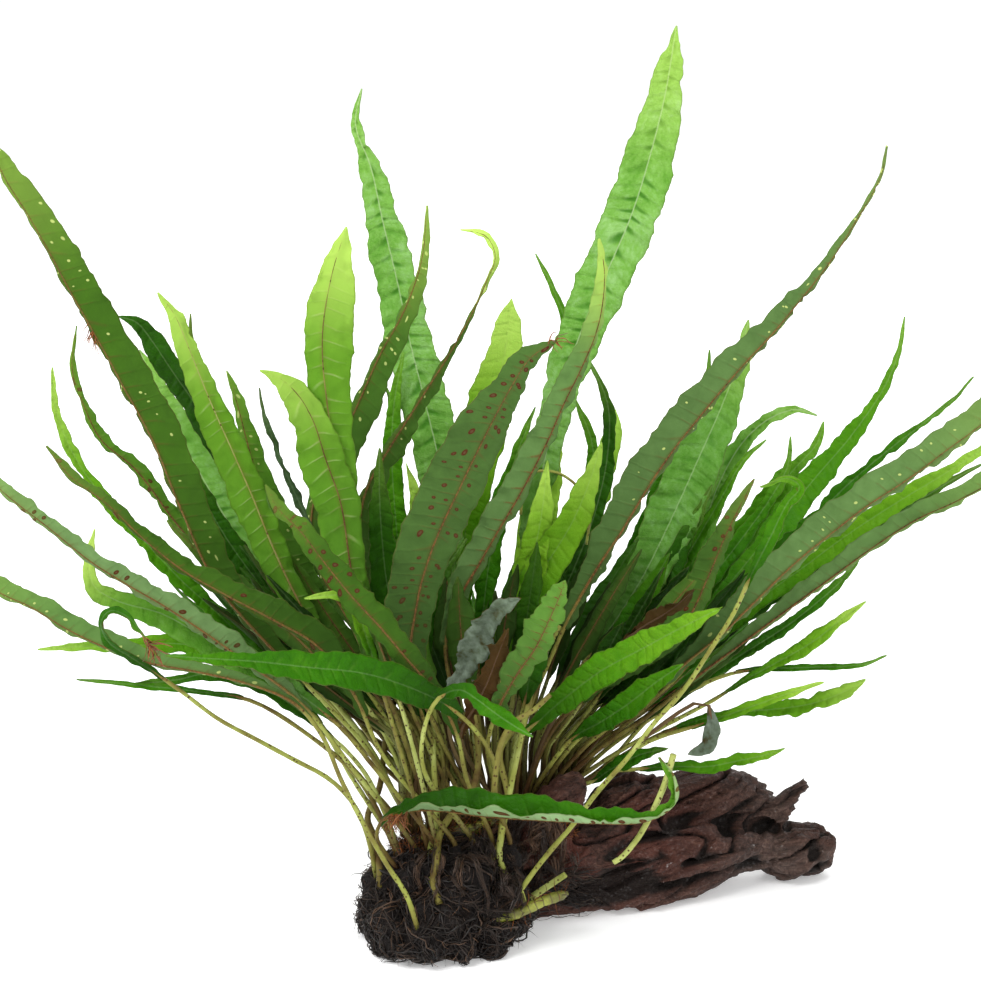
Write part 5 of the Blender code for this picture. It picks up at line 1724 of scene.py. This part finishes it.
MORE["right"] = [
    ("back", 0.8, Leaf(6, 0.38, 34, UPPER, GREEN, [(34, 62), (50, 82), (68, 104), (83, 123), (93, 137),
     (99, 148), (100, 158)])),
    ("back", 0.66, Leaf(6, 0.38, 84, UPPER, GREEN, [(24, 72), (38, 100), (52, 130), (64, 158),
     (72, 176), (73, 187)], drawn_out=0.5)),
    ("back", 0.76, Leaf(5, 0.38, 62, UPPER, GREEN, [(30, 64), (46, 86), (62, 112), (76, 136), (85, 151),
     (92, 157)], drawn_out=0.5)),
    ("crown", 0.9, Leaf(6, 0.35, 4, UPPER, DARK, [(36, 54), (60, 75), (84, 97), (108, 115), (137, 133),
     (153, 143), (164, 149)], drawn_out=0.5)),
    ("back", 0.95, Leaf(2.4, 0.6, 14, UPPER, GREEN, [(38, 48), (55, 66), (72, 76), (85, 80), (105, 81),
     (124, 82), (132, 85)], drawn_out=0.5)),
    ("crown", 0.94, Leaf(3.6, 0.52, -2, UPPER, LIME, [(38, 46), (52, 56), (70, 62), (87, 68), (101, 73),
     (111, 76)], drawn_out=0.3)),
    ("crown", 0.88, Leaf(5, 0.3, -14, UPPER, DARK, [(34, 43), (40, 47), (50, 52), (59, 54)],
     drawn_out=0.3)),
    ("crown", 0.86, Leaf(5.5, 0.78, -12, UPPER, GREY, [(38, 46), (52, 58), (66, 68), (71.5, 70),
     (73.5, 66), (74, 60), (71.5, 54.5), (66, 52)], turns=(0, 30), drawn_out=0.2)),
    ("crown", 0.7, Leaf(5, 0.7, -26, UNDER, GREY, [(20, 62), (36, 82), (50, 94), (60, 100), (68, 107)],
     drawn_out=0.3, bulge=1.4, ripple=1.8, wavy=1.3, shade=0.45)),
    ("crown", 0.72, Leaf(9, 0.32, -20, UNDER, DARK, [(20, 60), (36, 76), (52, 92), (66, 108),
     (78, 120)])),
    ("back", 0.72, Leaf(9, 0.34, 50, UPPER, DARK, [(26, 66), (42, 86), (56, 106), (66, 126),
     (74, 142)])),
]
more = {}
for group, rows in MORE.items():
    more[group] = [frond_from(stem_name, share, "%s_%d" % (group, k), replace(leaf, fine=1.6))
                   for k, (stem_name, share, leaf) in enumerate(rows)]
print("further fronds:", {group: len(things) for group, things in more.items()})

# %% [markdown]
# ## The thicket
#
# The dense dark inside of the clump shows no single frond. It is filled by a rule with a seed of
# its own: fronds of middling length that fan out from two of the stems, one group behind and one
# between the others, darker by painted shade the deeper they stand.

# %% Fronds that fill the clump
# How many, the stem that they grow from, and how far back their tips may lie
FILL = {"behind": (48, "back", (22, 90)), "between": (62, "crown", (-18, 44))}
FILL_HUES = {"behind": (DARK, GREEN, GREEN, LIME), "between": (DARK, DARK, GREEN)}
# How much painted shade darkens the fronds of each group
FILL_SHADE = {"behind": 0.45, "between": 0.72}
FAN_FOOT = (0, 40)
FAN_SPREAD = math.radians(60)
FAN_STEPS = (0.16, 0.34, 0.52, 0.68, 0.84, 1.0)
BARE_LENGTH = (36, 52)


def filling_leaf(draw, group):
    """A frond of the thicket: its angle, length and lean are drawn at random."""
    low = draw.random() ** 0.85
    lean = FAN_SPREAD * low * draw.choice((-1, 1))
    tall = draw.uniform(66, 118) * (0.52 + 0.40 * low ** 0.5)
    bend = draw.uniform(-0.16, 0.16)
    route = []
    for step in FAN_STEPS:
        turn = lean + bend * (step - 0.5)
        route.append((FAN_FOOT[0] + lean * 22 + tall * step * math.sin(turn),
                      FAN_FOOT[1] + 6 + tall * step * math.cos(turn)))
    hue = draw.choice(FILL_HUES[group])
    return Leaf(
        width=draw.uniform(6.5, 12.5) * (1 - 0.5 * low), drawn_out=draw.uniform(0.2, 0.8),
        bare=min(draw.uniform(*BARE_LENGTH) / (tall + 12), 0.55), tip_back=draw.uniform(*FILL[group][2]),
        turns=(draw.uniform(-70, 70), draw.uniform(-70, 70)), shows=draw.choice((UPPER, UPPER, UNDER)),
        colour=hue, route=route, fine=2.2, tip=0.0, lime=LIMENESS[hue] * draw.uniform(0.5, 1.0),
        shade=FILL_SHADE[group] * draw.uniform(0.4, 1), bulge=0.35)


for group, (count, stem_name, _) in FILL.items():
    draw = random.Random(group)
    more[group] = []
    for k in range(count):
        leaf = filling_leaf(draw, group)
        share = min(max(0.5 + leaf.route[0][0] / 60, 0.03), 0.97)
        more[group].append(frond_from(stem_name, share, "%s_%d" % (group, k), leaf))
for group, things in more.items():
    piece = joined("fern_" + group, things)
    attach(piece, "root")
    print(piece.name, len(piece.data.polygons))

# %% [markdown]
# ## Stage, light and camera
#
# The plant stands on a plain white floor under a white sky. A large soft lamp high on the left
# lights the blades, whose sheen is painted into their colour, a weaker one on the right lightens
# their shadows, and one behind shines through the young blades. The camera is at the eye of the
# drawing: a 100 mm lens, 908 mm away, 15 degrees above level.

# %% Stage
bpy.ops.mesh.primitive_plane_add(size=30, location=(0, 6, -0.0004))
floor = bpy.context.active_object
floor.name = "floor"
white, tree = new_finish("white floor")
paper = skin(tree, (0.90, 0.90, 0.90), 0.9, 0.1, Emission_Color=(1, 1, 1), Emission_Strength=0.27)
floor.data.materials.append(covered(white, paper))
print("floor", tuple(round(side, 1) for side in floor.dimensions), "m")

# %% Light
world = bpy.data.worlds.new("white sky")
world.use_nodes = True
sky = world.node_tree.nodes["Background"]
sky.inputs["Color"].default_value = (1, 1, 1, 1)
sky.inputs["Strength"].default_value = 0.84
bpy.context.scene.world = world


def lamp(name, place, size, power):
    """A square soft lamp that looks at the middle of the clump."""
    light = bpy.data.lights.new(name, "AREA")
    light.size, light.energy = size, power
    made = placed(name, light)
    made.location = place
    made.rotation_euler = (Vector((0, 0, 0.12)) - Vector(place)).to_track_quat("-Z", "Y").to_euler()


lamp("key lamp", (-0.7, -0.8, 1.5), 0.8, 24)
lamp("fill lamp", (1.2, -0.9, 0.7), 1.0, 6)
lamp("back lamp", (0.3, 1.3, 1.1), 0.9, 12)
print("lamps:", [light.name for light in bpy.data.lights])

# %% Camera
FRAME_WIDTH = 327.0
eye = bpy.data.cameras.new("camera")
eye.sensor_width = 36
eye.lens = eye.sensor_width * EYE_DISTANCE / FRAME_WIDTH
eye.clip_start = 0.05
camera = placed("camera", eye)
camera.location = EYE * MM
camera.rotation_euler = (math.radians(90) - EYE_PITCH, 0, 0)
bpy.context.scene.camera = camera
bpy.context.scene.view_settings.view_transform = "Standard"
print("lens", round(eye.lens, 1), "mm")
